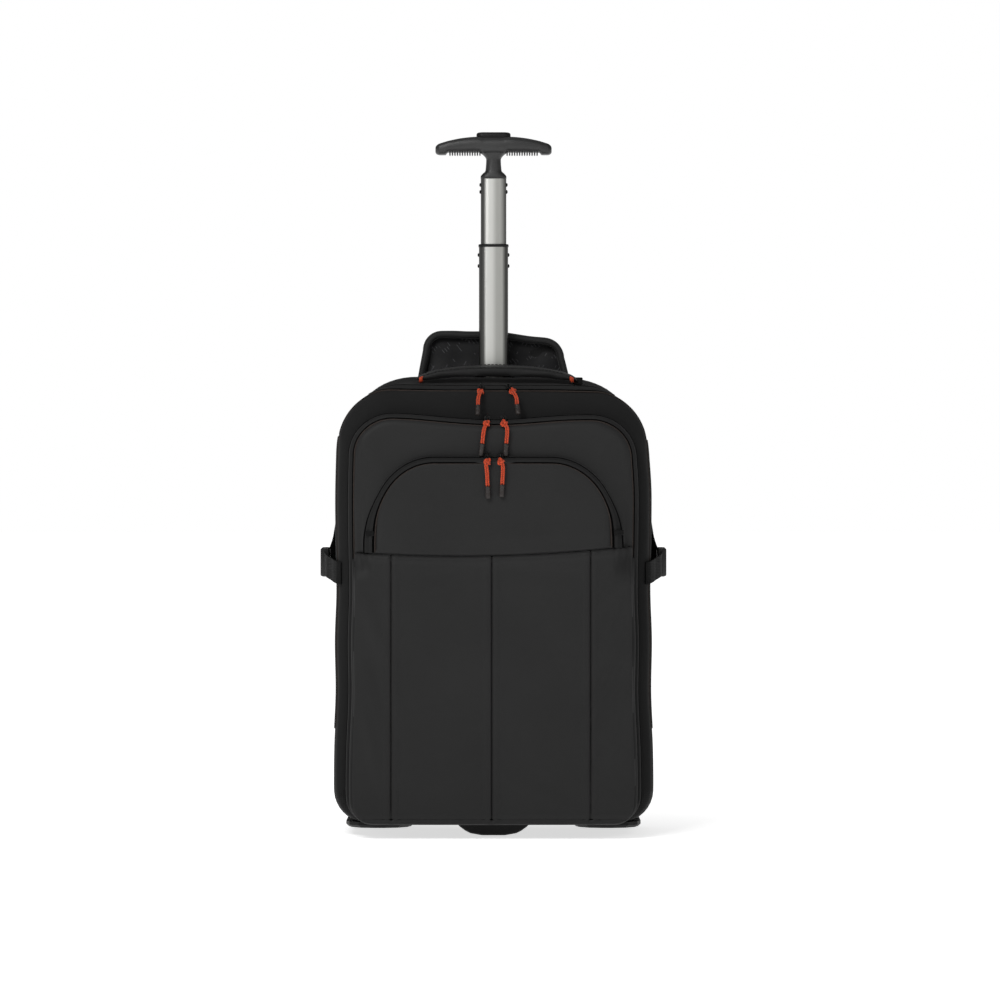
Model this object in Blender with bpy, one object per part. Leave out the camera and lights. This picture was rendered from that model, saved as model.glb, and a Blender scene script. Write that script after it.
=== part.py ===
"""Wheeled backpack: a soft bag on two wheels and a foot, with a telescopic handle and shoulder straps.

Metres, +Z up. The front pocket faces -Y. The origin is on the floor, under the middle of the object's box.
"""

import math

import bmesh
import bpy
from mathutils import Matrix, Vector

# Overall sizes
CLEAR = 0.0003  # gap between pieces that lie on each other
HALF_WIDTH = 0.1795  # half the bag's width at mid height
BAG_TOP = 0.5235  # the highest line of the bag, round the handle tube
BAG_LOW = 0.0160  # the bag's underside
MAIN_DEPTH = 0.1500  # main compartment, rim to front wall
FRONT_DEPTH = 0.0300  # front compartment, beyond the main one
POCKET_DEPTH = 0.0135  # front pocket, beyond the front compartment
PANEL_THICK = 0.0090  # padded back panel
STRAP_BOW = 0.0330  # how far the shoulder straps stand off the back panel
SHELL_WALL = 0.0025  # laminated cloth with its foam
POCKET_WALL = 0.0020

# Outlines seen from the front: corner radii as (across, up)
TOP_CORNER = (0.0940, 0.0950)
BASE_CORNER = (0.0370, 0.0500)
FRONT_HALF_WIDTH = 0.1650
FRONT_TOP = 0.4790
FRONT_TOP_CORNER = (0.0500, 0.0470)
FRONT_BASE_CORNER = (0.0300, 0.0300)
TOP_SAG = 0.0065  # how far the front compartment's top edge sags in the middle
POCKET_HALF_WIDTH = 0.1385
POCKET_TOP = 0.4310
POCKET_CORNER = (0.0720, 0.0780)
YOKE_HEIGHT = 0.3215  # the level seam where the front pocket spreads to full width
YOKE_BLEND = 0.0140
POCKET_INSET = 0.0050  # the pocket's lower panel inside the front compartment's sides
POCKET_LIFT = 0.0010  # its base above the front compartment's

# Zips
ZIP_THICK = 0.0022
ZIP_MAIN_LOW = 0.1200
ZIP_FRONT_LOW = 0.0380
ZIP_POCKET_LOW = 0.3400
SLIDER_LENGTH = 0.0085
SLIDER_WIDTH = 0.0070
SLIDER_THICK = 0.0052  # with its pull eye
SLIDER_STAND = 0.0032  # how far the pocket's sliders stand in front of its face
CORD_DIAMETER = 0.0046  # two strands of cord side by side
CORD_LEAD = 0.0040  # how far a cord runs straight out of its slider
TIP_LENGTH = 0.0130
TIP_WIDTH = 0.0058

# Telescopic handle
TUBE_BACK = 0.0300  # tube centre, forward of the bag's rim
TUBE_CORNER = 0.0095
OUTER_TUBE = (0.0338, 0.0230)  # stage that slides in the bag: width, depth
INNER_TUBE = (0.0296, 0.0188)
TUBE_WALL = 0.0012
TUBE_PLAY = 0.0005
SOCKET_WALL = 0.0015
SOCKET_LOW = 0.0560
BEZEL_HIGH = 0.0055
BEZEL_MARGIN = 0.0060
OUTER_TUBE_LENGTH = 0.3960
OUTER_TUBE_TOP = 0.6745
COLLAR_HIGH = 0.0032
COLLAR_MARGIN = 0.0006
INNER_TUBE_LENGTH = 0.3300
INNER_TUBE_TOP = 0.7540
GRIP_HALF = 0.0670
GRIP_DEPTH = 0.0280
GRIP_NECK_HIGH = 0.0280  # from the tube's end to the bar's underside
GRIP_BAR_HIGH = 0.0207  # bar height in the middle
GRIP_END_HIGH = 0.0115
GRIP_TOOTH_PITCH = 0.0032
GRIP_TOOTH_HIGH = 0.0026
GRIP_TEETH = 12  # on each wing
GRIP_TEETH_START = 0.0160
BUTTON_WIDTH = 0.0396
BUTTON_DEPTH = 0.0170
BUTTON_PROUD = 0.0053
BUTTON_SEAT = 0.0090
BUTTON_TRAVEL = 0.0040
BUTTON_PLAY = 0.0005

# Handle cover, standing open behind the tube
HOOD_HALF_BASE = 0.0890
HOOD_HALF_TOP = 0.0800
HOOD_TOP = 0.5780
HOOD_CORNER = 0.0250
HOOD_DEPTH = 0.0230
HOOD_WALL = 0.0030
HOOD_LEAN = math.radians(10)
HOOD_BACK = 0.0020  # its back wall, forward of the rim

# Carry handle
CARRY_HALF = 0.0890
CARRY_RISE = 0.0115
CARRY_BACK = 0.0800  # forward of the rim
CARRY_WIDTH = 0.0260
CARRY_THICK = 0.0085
CARRY_TILT = math.radians(12)
CARRY_TAB = 0.0052
CARRY_TAB_WALL = 0.0014
CARRY_TAB_AT = 0.0780
CARRY_END_GAP = 0.0010  # at the sewn ends

# Wheels and base
WHEEL_RADIUS = 0.0325
WHEEL_WIDTH = 0.0220
WHEEL_ACROSS = 0.1310  # wheel centre to the bag's middle
WHEEL_BACK = 0.0060  # wheel centre, forward of the rim
WHEEL_SIDES = 22
RIM_RADIUS = 0.0240
AXLE_RADIUS = 0.0040
AXLE_PLAY = 0.0004
WELL_GAP = 0.0040
WELL_SIDE_GAP = 0.0025
HOUSING_IN = 0.0910
HOUSING_OUT = 0.1580
HOUSING_LOW = 0.0090
HOUSING_HIGH = 0.0860
HOUSING_BEHIND = 0.0120  # its back face, behind the rim
HOUSING_DEPTH = 0.0920
SKID_DEPTH = 0.1440
SKID_OUT = 0.1680
SKID_CORNER = 0.0300
SKID_CHAMFER = 0.0030
FOOT_HALF = 0.0420
FOOT_FLAT = 0.0130
FOOT_DEPTH = 0.0300
FOOT_PLACE = 0.1180  # foot centre, forward of the rim

# Side compression straps
WEB = 0.0250
WEB_THICK = 0.0016
SIDE_STRAP_HEIGHT = 0.3100
STRAP_WING = 0.0300
STRAP_REAR = 0.0100
STRAP_FRONT = 0.1240
STRAP_LAY = 0.0010
BUCKLE_STAND = 0.0096  # the buckle's inner face, out from the bag's side
BUCKLE_HIGH = 0.0340
BUCKLE_THICK = 0.0100
BUCKLE_SOCKET = 0.0300
BUCKLE_PLUG = 0.0200
BUCKLE_FRONT = 0.0900  # front end of the plug, forward of the rim

# Shoulder straps
PAD_WIDTH = 0.0620
PAD_THICK = 0.0110
PAD_TOP = 0.4700
PAD_LOW = 0.2050
PAD_TOP_ACROSS = 0.0500
PAD_LOW_ACROSS = 0.1000
WEBBING_LOW = 0.1120
WEBBING_LOW_ACROSS = 0.1240
ADJUSTER_LONG = 0.0240
ADJUSTER_THICK = 0.0050

# Places along Y, worked out from the depths
BACK_REACH = PANEL_THICK + CLEAR + STRAP_BOW
DEPTH_ALL = BACK_REACH + MAIN_DEPTH + FRONT_DEPTH + POCKET_DEPTH + SLIDER_STAND
RIM_Y = DEPTH_ALL / 2 - BACK_REACH
TUBE_Y = RIM_Y - TUBE_BACK

COLOURS = {  # name: (linear colour, roughness, metallic)
    "shell_cloth": ((0.027, 0.027, 0.028), 0.62, 0.0),
    "base_cloth": ((0.016, 0.016, 0.017), 0.75, 0.0),
    "mesh_cloth": ((0.013, 0.013, 0.014), 0.85, 0.0),
    "webbing": ((0.016, 0.016, 0.017), 0.70, 0.0),
    "zip_tape": ((0.030, 0.026, 0.024), 0.55, 0.0),
    "orange_cord": ((0.640, 0.105, 0.030), 0.60, 0.0),
    "dark_plastic": ((0.022, 0.022, 0.023), 0.42, 0.0),
    "dark_metal": ((0.050, 0.050, 0.055), 0.35, 0.9),
    "silver_tube": ((0.420, 0.420, 0.410), 0.38, 0.9),
    "tyre_rubber": ((0.018, 0.018, 0.018), 0.80, 0.0),
}


def clear_scene():
    for obj in list(bpy.data.objects):
        bpy.data.objects.remove(obj, do_unlink=True)


def material(name):
    found = bpy.data.materials.get(name)
    if found:
        return found
    colour, roughness, metallic = COLOURS[name]
    made = bpy.data.materials.new(name)
    made.use_nodes = True
    shader = made.node_tree.nodes["Principled BSDF"]
    shader.inputs["Base Color"].default_value = (*colour, 1.0)
    shader.inputs["Roughness"].default_value = roughness
    shader.inputs["Metallic"].default_value = metallic
    made.diffuse_color = (*colour, 1.0)
    return made


def finish(name, bm, finish_name=None, smooth=35):
    """Makes a bmesh into a named object. With no finish it is a helper that only cuts or joins."""
    bmesh.ops.recalc_face_normals(bm, faces=bm.faces)
    mesh = bpy.data.meshes.new(name)
    bm.to_mesh(mesh)
    bm.free()
    obj = bpy.data.objects.new(name, mesh)
    bpy.context.scene.collection.objects.link(obj)
    if finish_name:
        mesh.materials.append(material(finish_name))
        mesh.shade_smooth()
        mesh.set_sharp_from_angle(angle=math.radians(smooth))
    else:
        obj.hide_render = True
        obj.display_type = "WIRE"
    return obj


def boolean(obj, other, operation="DIFFERENCE"):
    mod = obj.modifiers.new(other.name, "BOOLEAN")
    mod.operation = operation
    mod.object = other
    mod.solver = "EXACT"
    return mod


def loft(bm, rings, start_cap=True, end_cap=True):
    """Skins rings that have the same number of points."""
    loops = [[bm.verts.new(p) for p in ring] for ring in rings]
    for a, b in zip(loops, loops[1:]):
        for i in range(len(a)):
            j = (i + 1) % len(a)
            bm.faces.new((a[i], a[j], b[j], b[i]))
    if start_cap:
        bm.faces.new(loops[0])
    if end_cap:
        bm.faces.new(loops[-1])
    return loops


def block(bm, low, high):
    """A box between two corners."""
    size = Vector(high) - Vector(low)
    place = (Vector(high) + Vector(low)) / 2
    bmesh.ops.create_cube(bm, size=1, matrix=Matrix.Translation(place) @ Matrix.Diagonal((*size, 1)))


def arc(centre, radii, start, end, steps):
    """Points of an elliptical arc, in degrees, both ends included."""
    made = []
    for i in range(steps + 1):
        turn = math.radians(start + (end - start) * i / steps)
        made.append((centre[0] + radii[0] * math.cos(turn), centre[1] + radii[1] * math.sin(turn)))
    return made


def smoothstep(t):
    t = max(0.0, min(1.0, t))
    return t * t * (3 - 2 * t)


def read_table(rows, at):
    """Reads a table of (place, value) rows smoothly between its rows."""
    if at <= rows[0][0]:
        return rows[0][1]
    for (p, u), (q, v) in zip(rows, rows[1:]):
        if at <= q:
            return u + (v - u) * smoothstep((at - p) / (q - p))
    return rows[-1][1]


# Bag outlines, as halves seen from the front that are mirrored

SIDE_TABLE = (  # share of the bag's height, share added to its half width
    (0.00, 0.010),
    (0.10, 0.024),
    (0.20, 0.014),
    (0.32, 0.000),
    (0.48, 0.003),
    (0.60, -0.004),
    (0.72, 0.004),
    (1.00, 0.000),
)
SIDE_STEPS = 6
CORNER_STEPS = 6
BASE_STEPS = 4
TOP_STEPS = 2


def widened(x, z):
    """The bag's sides stand out more near its base, with shallow folds between."""
    share = (z - BAG_LOW) / (BAG_TOP - BAG_LOW)
    return x * (1 + read_table(SIDE_TABLE, share))


def half_outline(half, low, high, base_corner, top_corner, sag=0.0):
    """Right half of a section, from its lowest to its highest middle point."""
    side_low, side_high = low + base_corner[1], high - top_corner[1]
    points = [(0.0, low)]
    points += arc((half - base_corner[0], side_low), base_corner, -90, 0, BASE_STEPS)
    for i in range(1, SIDE_STEPS):
        points.append((half, side_low + (side_high - side_low) * i / SIDE_STEPS))
    points += arc((half - top_corner[0], side_high), top_corner, 0, 90, CORNER_STEPS)
    flat = half - top_corner[0]
    for i in range(1, TOP_STEPS + 1):
        points.append((flat * (1 - i / TOP_STEPS), high - sag * smoothstep(i / TOP_STEPS)))
    return points


def inset_half(half, low, high, base_corner, top_corner, inset, sag=0.0):
    base = [r - inset for r in base_corner]
    top = [r - inset for r in top_corner]
    return half_outline(half - inset, low + inset, high - inset, base, top, sag)


def ring_at(half, forward):
    """The whole outline from its right half, placed forward of the rim."""
    whole = half + [(-x, z) for x, z in reversed(half[1:-1])]
    return [Vector((widened(x, z), RIM_Y - forward, z)) for x, z in whole]


def drawn_in(ring, share, forward):
    """A ring drawn towards its middle, for the crown of a soft face."""
    middle = sum(p.z for p in ring) / len(ring)
    return [Vector((p.x * share, RIM_Y - forward, middle + (p.z - middle) * share)) for p in ring]


MAIN_TABLE = (  # share of the depth, share of the half width, drop of the top, lift of the base
    (0.000, 0.955, 0.0150, 0.0060),
    (0.040, 0.985, 0.0055, 0.0015),
    (0.130, 1.000, 0.0000, 0.0000),
    (0.300, 1.000, 0.0000, 0.0000),
    (0.450, 1.000, 0.0060, 0.0000),
    (0.700, 1.000, 0.0108, 0.0000),
    (0.840, 0.998, 0.0130, 0.0000),
    (0.930, 0.980, 0.0225, 0.0004),
    (0.980, 0.940, 0.0380, 0.0020),
    (1.000, 0.905, 0.0465, 0.0050),
)
MAIN_ZIP_ROW = 6  # the main zip lies between this row and the next
CORNER_TURN = 0.70  # from this share of the depth on, the top corners tighten
SAG_TURN = 0.90  # and from this one the top edge sags


def main_ring(row, inset=0.0):
    share, wide, drop, lift = row
    turn = smoothstep((share - CORNER_TURN) / (1 - CORNER_TURN))
    sag = TOP_SAG * smoothstep((share - SAG_TURN) / (1 - SAG_TURN))
    corner = [u + (v - u) * turn for u, v in zip(TOP_CORNER, FRONT_TOP_CORNER)]
    low, high = BAG_LOW + lift, BAG_TOP - drop
    half = inset_half(HALF_WIDTH * wide, low, high, BASE_CORNER, corner, inset, sag)
    return ring_at(half, share * (MAIN_DEPTH - inset))


def main_rings(inset=0.0):
    return [main_ring(row, inset) for row in MAIN_TABLE]


def top_height(forward):
    """The height of the main compartment's top, in the middle."""
    share = forward / MAIN_DEPTH
    for a, b in zip(MAIN_TABLE, MAIN_TABLE[1:]):
        if share <= b[0]:
            return BAG_TOP - a[2] - (b[2] - a[2]) * (share - a[0]) / (b[0] - a[0])
    return BAG_TOP - MAIN_TABLE[-1][2]


FRONT_TABLE = (  # share of the compartment's depth, inset of its outline
    (0.00, 0.0000),
    (0.50, 0.0006),
    (0.76, 0.0064),
    (0.92, 0.0105),
)
FRONT_ZIP_ROW = 1
POCKET_TABLE = (  # share of the pocket's depth, inset of its outline
    (0.00, 0.0000),
    (0.38, 0.0004),
    (0.80, 0.0062),
    (0.94, 0.0110),
)
POCKET_ZIP_ROW = 1
CROWN_TABLE = (  # share of the outline's size, share of the depth
    (0.72, 0.985),
    (0.36, 1.000),
)


def tub_rings(table, half_at, start, depth, inset):
    """Rings of a soft tub: its side rows, then the crown of its face."""
    rings = [ring_at(half_at(row[1] + inset), start + row[0] * (depth - inset)) for row in table]
    last = rings[-1]
    return rings + [drawn_in(last, size, start + share * (depth - inset)) for size, share in CROWN_TABLE]


def front_half(inset):
    corners = (FRONT_BASE_CORNER, FRONT_TOP_CORNER)
    return inset_half(FRONT_HALF_WIDTH, BAG_LOW, FRONT_TOP, *corners, inset, TOP_SAG)


def front_rings(inset=0.0):
    return tub_rings(FRONT_TABLE, front_half, MAIN_DEPTH + CLEAR, FRONT_DEPTH, inset)


def pocket_half(inset):
    """Right half of the front pocket: full width below the yoke seam, arched above it."""
    low = BAG_LOW + POCKET_LIFT + inset
    wide = FRONT_HALF_WIDTH - POCKET_INSET - inset
    narrow = POCKET_HALF_WIDTH - inset
    top = POCKET_TOP - inset
    corner = [r - inset for r in POCKET_CORNER]
    base = (FRONT_BASE_CORNER[0] - POCKET_INSET - inset, FRONT_BASE_CORNER[1] - POCKET_LIFT - inset)
    yoke = YOKE_HEIGHT - inset
    points = [(0.0, low)]
    points += arc((wide - base[0], low + base[1]), base, -90, 0, BASE_STEPS)
    side_low = low + base[1]
    for i in range(1, SIDE_STEPS + 1):
        points.append((wide, side_low + (yoke - side_low) * i / SIDE_STEPS))
    points.append(((wide + narrow) / 2, yoke + YOKE_BLEND * 0.4))
    points.append((narrow, yoke + YOKE_BLEND))
    points += arc((narrow - corner[0], top - corner[1]), corner, 0, 90, CORNER_STEPS)
    points.append(((narrow - corner[0]) / 2, top))
    points.append((0.0, top))
    return points


def pocket_rings(inset=0.0):
    start = MAIN_DEPTH + FRONT_DEPTH + 2 * CLEAR
    return tub_rings(POCKET_TABLE, pocket_half, start, POCKET_DEPTH, inset)


def soft_shell(name, rings_at, wall):
    """A tub of cloth with a real wall: open at the back, closed in front."""
    bm = bmesh.new()
    loft(bm, list(reversed(rings_at(wall))) + rings_at())
    return finish(name, bm, "shell_cloth", smooth=50)


def make_bag():
    main = soft_shell("main_shell", main_rings, SHELL_WALL)
    soft_shell("front_shell", front_rings, SHELL_WALL)
    soft_shell("pocket_shell", pocket_rings, POCKET_WALL)
    bm = bmesh.new()
    rings = []
    for share, inset in ((0.0, 0.0010), (0.35, 0.0), (0.80, 0.0025), (1.0, 0.0080)):
        rim = main_ring(MAIN_TABLE[0], inset)
        rings.append([Vector((p.x, RIM_Y + CLEAR + share * PANEL_THICK, p.z)) for p in rim])
    loft(bm, rings)
    panel = finish("back_panel", bm, "mesh_cloth", smooth=50)
    for side in (-1, 1):
        bm = bmesh.new()
        low, high = housing_box(side)
        block(bm, low - Vector((CLEAR, CLEAR, CLEAR)), high + Vector((CLEAR, CLEAR, CLEAR)))
        well = finish("well_cut_l" if side < 0 else "well_cut_r", bm)
        boolean(main, well)
        boolean(panel, well)
    size = socket_size()
    bm = bmesh.new()
    loft(bm, [tube_ring(size, -CLEAR, z) for z in (BAG_TOP - 0.02, BAG_TOP + 0.02)])
    boolean(main, finish("socket_cut", bm))


def band(name, rings, row, low, start, end):
    """A zip laid on a shell between two rows of it, above a height."""
    back, front = rings[row], rings[row + 1]
    bm = bmesh.new()
    sections = []
    for i, p in enumerate(back):
        if p.z < low:
            continue
        a, b, out = on_shell(back, front, i, start, end)
        edge = (b - a) * 0.08
        lift = out * CLEAR
        top = out * (CLEAR + ZIP_THICK)
        sections.append([a + lift, b + lift, b + top - edge, a + top + edge])
    loft(bm, sections)
    return finish(name, bm, "zip_tape", smooth=50)


def on_shell(back, front, i, start, end):
    """Two points across a zip at an outline point, and the shell's outward direction there."""
    a, b = back[i].lerp(front[i], start), back[i].lerp(front[i], end)
    along = back[(i + 1) % len(back)] - back[i - 1]
    return a, b, along.cross(b - a).normalized()


ZIPS = {  # zip: (rings, row, lowest point, band start, band end)
    "main": (main_rings, MAIN_ZIP_ROW, ZIP_MAIN_LOW, 0.10, 0.72),
    "front": (front_rings, FRONT_ZIP_ROW, ZIP_FRONT_LOW, 0.06, 0.94),
    "pocket": (pocket_rings, POCKET_ZIP_ROW, ZIP_POCKET_LOW, 0.08, 0.92),
}


def slider_place(zip_name, across):
    """The middle of a slider on its zip, and its axes: along, down the face, outward."""
    rings_at, row, low, start, end = ZIPS[zip_name]
    rings = rings_at()
    back, front = rings[row], rings[row + 1]
    tops = [i for i, p in enumerate(back) if p.z > low]
    for i, j in zip(tops, tops[1:]):
        if back[j].x <= across < back[i].x and back[i].z > (BAG_LOW + FRONT_TOP) / 2:
            share = (across - back[i].x) / (back[j].x - back[i].x)
            a, b, out = on_shell(back, front, i, start, end)
            c, d, out_next = on_shell(back, front, j, start, end)
            middle = (a.lerp(c, share) + b.lerp(d, share)) / 2
            out = out.lerp(out_next, share).normalized()
            down = (b - a).normalized()
            lift = CLEAR + ZIP_THICK + CLEAR + SLIDER_THICK / 2
            return middle + out * lift, out.cross(down).normalized(), down, out


SLIDERS = {  # zip: (left slider across, right slider across)
    "main": (-0.0135, 0.0170),
    "front": (-0.0070, 0.0115),
    "pocket": (-0.0060, 0.0080),
}
PULLS = {  # cord routes as steps from the end of the cord's straight lead, in metres
    "main_l": ((-0.0013, -0.0085, -0.0029), (-0.0028, -0.0125, -0.0089), (-0.0030, -0.0185, -0.0164)),
    "main_r": ((0.0022, -0.0086, -0.0033), (0.0047, -0.0126, -0.0088), (0.0055, -0.0186, -0.0163)),
    "front_l": ((-0.0025, -0.0041, -0.0051), (-0.0040, -0.0061, -0.0111), (-0.0054, -0.0063, -0.0224)),
    "front_r": ((0.0035, -0.0041, -0.0054), (0.0041, -0.0061, -0.0114), (0.0031, -0.0063, -0.0227)),
    "pocket_l": ((-0.0020, -0.0022, -0.0044), (-0.0012, -0.0024, -0.0114), (-0.0004, -0.0010, -0.0284)),
    "pocket_r": ((0.0024, -0.0022, -0.0044), (0.0028, -0.0024, -0.0114), (0.0020, -0.0010, -0.0264)),
}


def smooth_route(points, steps=4):
    """A smooth curve through a route's own points, however unevenly they are spaced."""
    path = [Vector(p) for p in points]
    spans = [(b - a).length for a, b in zip(path, path[1:])]
    last = len(path) - 1
    made = []
    for i, (a, b) in enumerate(zip(path, path[1:])):
        before, after = max(i - 1, 0), min(i + 2, last)
        start = (b - path[before]) / sum(spans[before:i + 1])
        end = (path[after] - a) / sum(spans[i:after])
        for k in range(steps):
            t = k / steps
            ends = a * (1 + 2 * t) * (1 - t) ** 2 + b * t * t * (3 - 2 * t)
            made.append(ends + (start * (1 - t) - end * t) * spans[i] * t * (1 - t))
    return made + [path[-1]]


def oriented_block(name, middle, axes, sizes, finish_name, edge):
    """A box with soft edges, turned to three axes."""
    bm = bmesh.new()
    half = [s / 2 for s in sizes]
    block(bm, [-h for h in half], half)
    turn = Matrix([list(v) for v in axes]).transposed().to_4x4()
    bmesh.ops.transform(bm, matrix=Matrix.Translation(middle) @ turn, verts=bm.verts)
    bmesh.ops.bevel(bm, geom=bm.edges[:], offset=edge, segments=1, affect="EDGES", profile=0.5)
    return finish(name, bm, finish_name, smooth=30)


def cord_tube(name, route):
    curve = bpy.data.curves.new(name, "CURVE")
    curve.dimensions = "3D"
    curve.bevel_depth = CORD_DIAMETER / 2
    curve.bevel_resolution = 2
    curve.use_fill_caps = True
    spline = curve.splines.new("POLY")
    points = smooth_route(route)
    spline.points.add(len(points) - 1)
    for point, place in zip(spline.points, points):
        point.co = (*place, 1.0)
    curve.materials.append(material("orange_cord"))
    obj = bpy.data.objects.new(name, curve)
    bpy.context.scene.collection.objects.link(obj)
    return obj


def make_zips():
    for zip_name, (rings_at, row, low, start, end) in ZIPS.items():
        band(zip_name + "_zip", rings_at(), row, low, start, end)
        for side, across in zip("lr", SLIDERS[zip_name]):
            label = f"{zip_name}_{side}"
            middle, along, down, out = slider_place(zip_name, across)
            sizes = (SLIDER_WIDTH, SLIDER_LENGTH, SLIDER_THICK)
            oriented_block("slider_" + label, middle, (along, down, out), sizes, "dark_metal", 0.0008)
            eye = middle + down * (SLIDER_LENGTH / 2 + CLEAR)
            lead = [eye, eye + down * CORD_LEAD]
            route = lead + [lead[-1] + Vector(step) for step in PULLS[label]]
            cord_tube("pull_cord_" + label, route)
            last = route[-1]
            fall = (last - route[-2]).normalized()
            sideways = fall.cross(Vector((0, -1, 0))).normalized()
            tip_sizes = (TIP_WIDTH, TIP_LENGTH, TIP_WIDTH * 0.8)
            place = last + fall * (CLEAR + TIP_LENGTH / 2)
            oriented_block("pull_tip_" + label, place, (sideways, fall, sideways.cross(fall)), tip_sizes,
                           "dark_plastic", 0.0012)


# Telescopic handle

def rounded_rectangle(width, depth, corner, steps=3):
    points = []
    for turn, sx, sy in ((0, 1, 1), (90, -1, 1), (180, -1, -1), (270, 1, -1)):
        centre = (sx * (width / 2 - corner), sy * (depth / 2 - corner))
        points += arc(centre, (corner, corner), turn, turn + 90, steps)
    return points


def tube_ring(size, inset, z, y=None):
    """A tube's section at a height; a negative inset makes it larger."""
    width, depth = size[0] - 2 * inset, size[1] - 2 * inset
    corner = max(TUBE_CORNER - inset, 0.001)
    place = TUBE_Y if y is None else y
    return [Vector((x, place + v, z)) for x, v in rounded_rectangle(width, depth, min(corner, depth / 2.01))]


def hollow_tube(name, size, wall, low, high, finish_name):
    bm = bmesh.new()
    outer = [tube_ring(size, 0, low), tube_ring(size, 0, high)]
    inner = [tube_ring(size, wall, high), tube_ring(size, wall, low)]
    loops = loft(bm, outer + inner, False, False)
    last, first = loops[-1], loops[0]
    for i in range(len(first)):
        j = (i + 1) % len(first)
        bm.faces.new((last[i], last[j], first[j], first[i]))
    return finish(name, bm, finish_name)


def socket_size():
    return tuple(s + 2 * (TUBE_PLAY + SOCKET_WALL) for s in OUTER_TUBE)


def bezel_size():
    return tuple(s + 2 * (TUBE_PLAY + BEZEL_MARGIN) for s in OUTER_TUBE)


def collar_size():
    return tuple(s + 2 * COLLAR_MARGIN for s in OUTER_TUBE)


BAR_TABLE = (  # share of the half length, share of the rise lost, share of the depth
    (0.00, 0.00, 1.00),
    (0.30, 0.02, 1.00),
    (0.50, 0.14, 0.98),
    (0.78, 0.52, 0.90),
    (0.94, 0.86, 0.78),
    (1.00, 1.06, 0.56),
)
NECK_TABLE = (  # share of the height, half width, half depth
    (0.00, 0.0158, 0.0108),
    (0.10, 0.0158, 0.0108),
    (0.20, 0.0128, 0.0096),
    (0.34, 0.0092, 0.0092),
    (0.80, 0.0084, 0.0088),
    (0.92, 0.0100, 0.0100),
    (1.12, 0.0170, 0.0110),
)


def make_grip():
    under = INNER_TUBE_TOP + GRIP_NECK_HIGH
    bm = bmesh.new()
    rings = []
    for side in (-1, 1):
        rows = BAR_TABLE if side > 0 else reversed(BAR_TABLE[1:])
        for share, lost, deep in rows:
            high = under + GRIP_BAR_HIGH - lost * (GRIP_BAR_HIGH - GRIP_END_HIGH)
            low = under + max(0.0, lost - 0.9) * GRIP_END_HIGH
            depth = GRIP_DEPTH * deep
            corner = min(high - low, depth) * 0.36
            section = rounded_rectangle(depth, high - low, corner, 2)
            x = side * share * GRIP_HALF
            rings.append([Vector((x, TUBE_Y + u, (high + low) / 2 + v)) for u, v in section])
    loft(bm, rings)
    grip = finish("grip", bm, "dark_plastic")
    bm = bmesh.new()
    neck = []
    for share, half, deep in NECK_TABLE:
        z = INNER_TUBE_TOP + CLEAR + share * (GRIP_NECK_HIGH - CLEAR)
        outline = rounded_rectangle(2 * half, 2 * deep, deep * 0.7)
        neck.append([Vector((x, TUBE_Y + y, z)) for x, y in outline])
    loft(bm, neck)
    boolean(grip, finish("grip_neck", bm), "UNION")
    bm = bmesh.new()
    for side in (-1, 1):
        for i in range(GRIP_TEETH):
            x = side * (GRIP_TEETH_START + i * GRIP_TOOTH_PITCH)
            half = GRIP_TOOTH_PITCH * 0.27
            block(bm, (x - half, TUBE_Y - GRIP_DEPTH * 0.30, under - GRIP_TOOTH_HIGH),
                  (x + half, TUBE_Y + GRIP_DEPTH * 0.30, under + 0.002))
    boolean(grip, finish("grip_teeth", bm), "UNION")
    top = under + GRIP_BAR_HIGH
    well = [BUTTON_WIDTH + 2 * BUTTON_PLAY, BUTTON_DEPTH + 2 * BUTTON_PLAY]
    bm = bmesh.new()
    outline = rounded_rectangle(*well, well[1] * 0.42)
    loft(bm, [[Vector((x, TUBE_Y + y, z)) for x, y in outline] for z in (top - BUTTON_SEAT, top + 0.01)])
    boolean(grip, finish("button_well", bm))
    bm = bmesh.new()
    rings = []
    bottom = top - BUTTON_SEAT + BUTTON_TRAVEL + CLEAR
    for z, inset in ((bottom, 0), (top + BUTTON_PROUD * 0.5, 0), (top + BUTTON_PROUD * 0.88, 0.0015),
                     (top + BUTTON_PROUD, 0.0045)):
        outline = rounded_rectangle(BUTTON_WIDTH - 2 * inset, BUTTON_DEPTH - 2 * inset,
                                    BUTTON_DEPTH * 0.42 - inset)
        rings.append([Vector((x, TUBE_Y + y, z)) for x, y in outline])
    loft(bm, rings)
    finish("grip_button", bm, "dark_plastic")


def make_handle():
    hollow_tube("pole_socket", socket_size(), SOCKET_WALL, SOCKET_LOW, BAG_TOP, "dark_plastic")
    low = BAG_TOP + CLEAR
    hollow_tube("pole_bezel", bezel_size(), BEZEL_MARGIN, low, low + BEZEL_HIGH, "dark_plastic")
    outer_low = OUTER_TUBE_TOP - OUTER_TUBE_LENGTH
    hollow_tube("outer_tube", OUTER_TUBE, TUBE_WALL, outer_low, OUTER_TUBE_TOP, "silver_tube")
    ring_wall = (collar_size()[0] - INNER_TUBE[0]) / 2 - TUBE_PLAY
    low = OUTER_TUBE_TOP + CLEAR
    hollow_tube("tube_collar", collar_size(), ring_wall, low, low + COLLAR_HIGH, "dark_plastic")
    hollow_tube("inner_tube", INNER_TUBE, TUBE_WALL, INNER_TUBE_TOP - INNER_TUBE_LENGTH, INNER_TUBE_TOP,
                "silver_tube")
    make_grip()


# Cover of the grip, open and standing behind it

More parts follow.
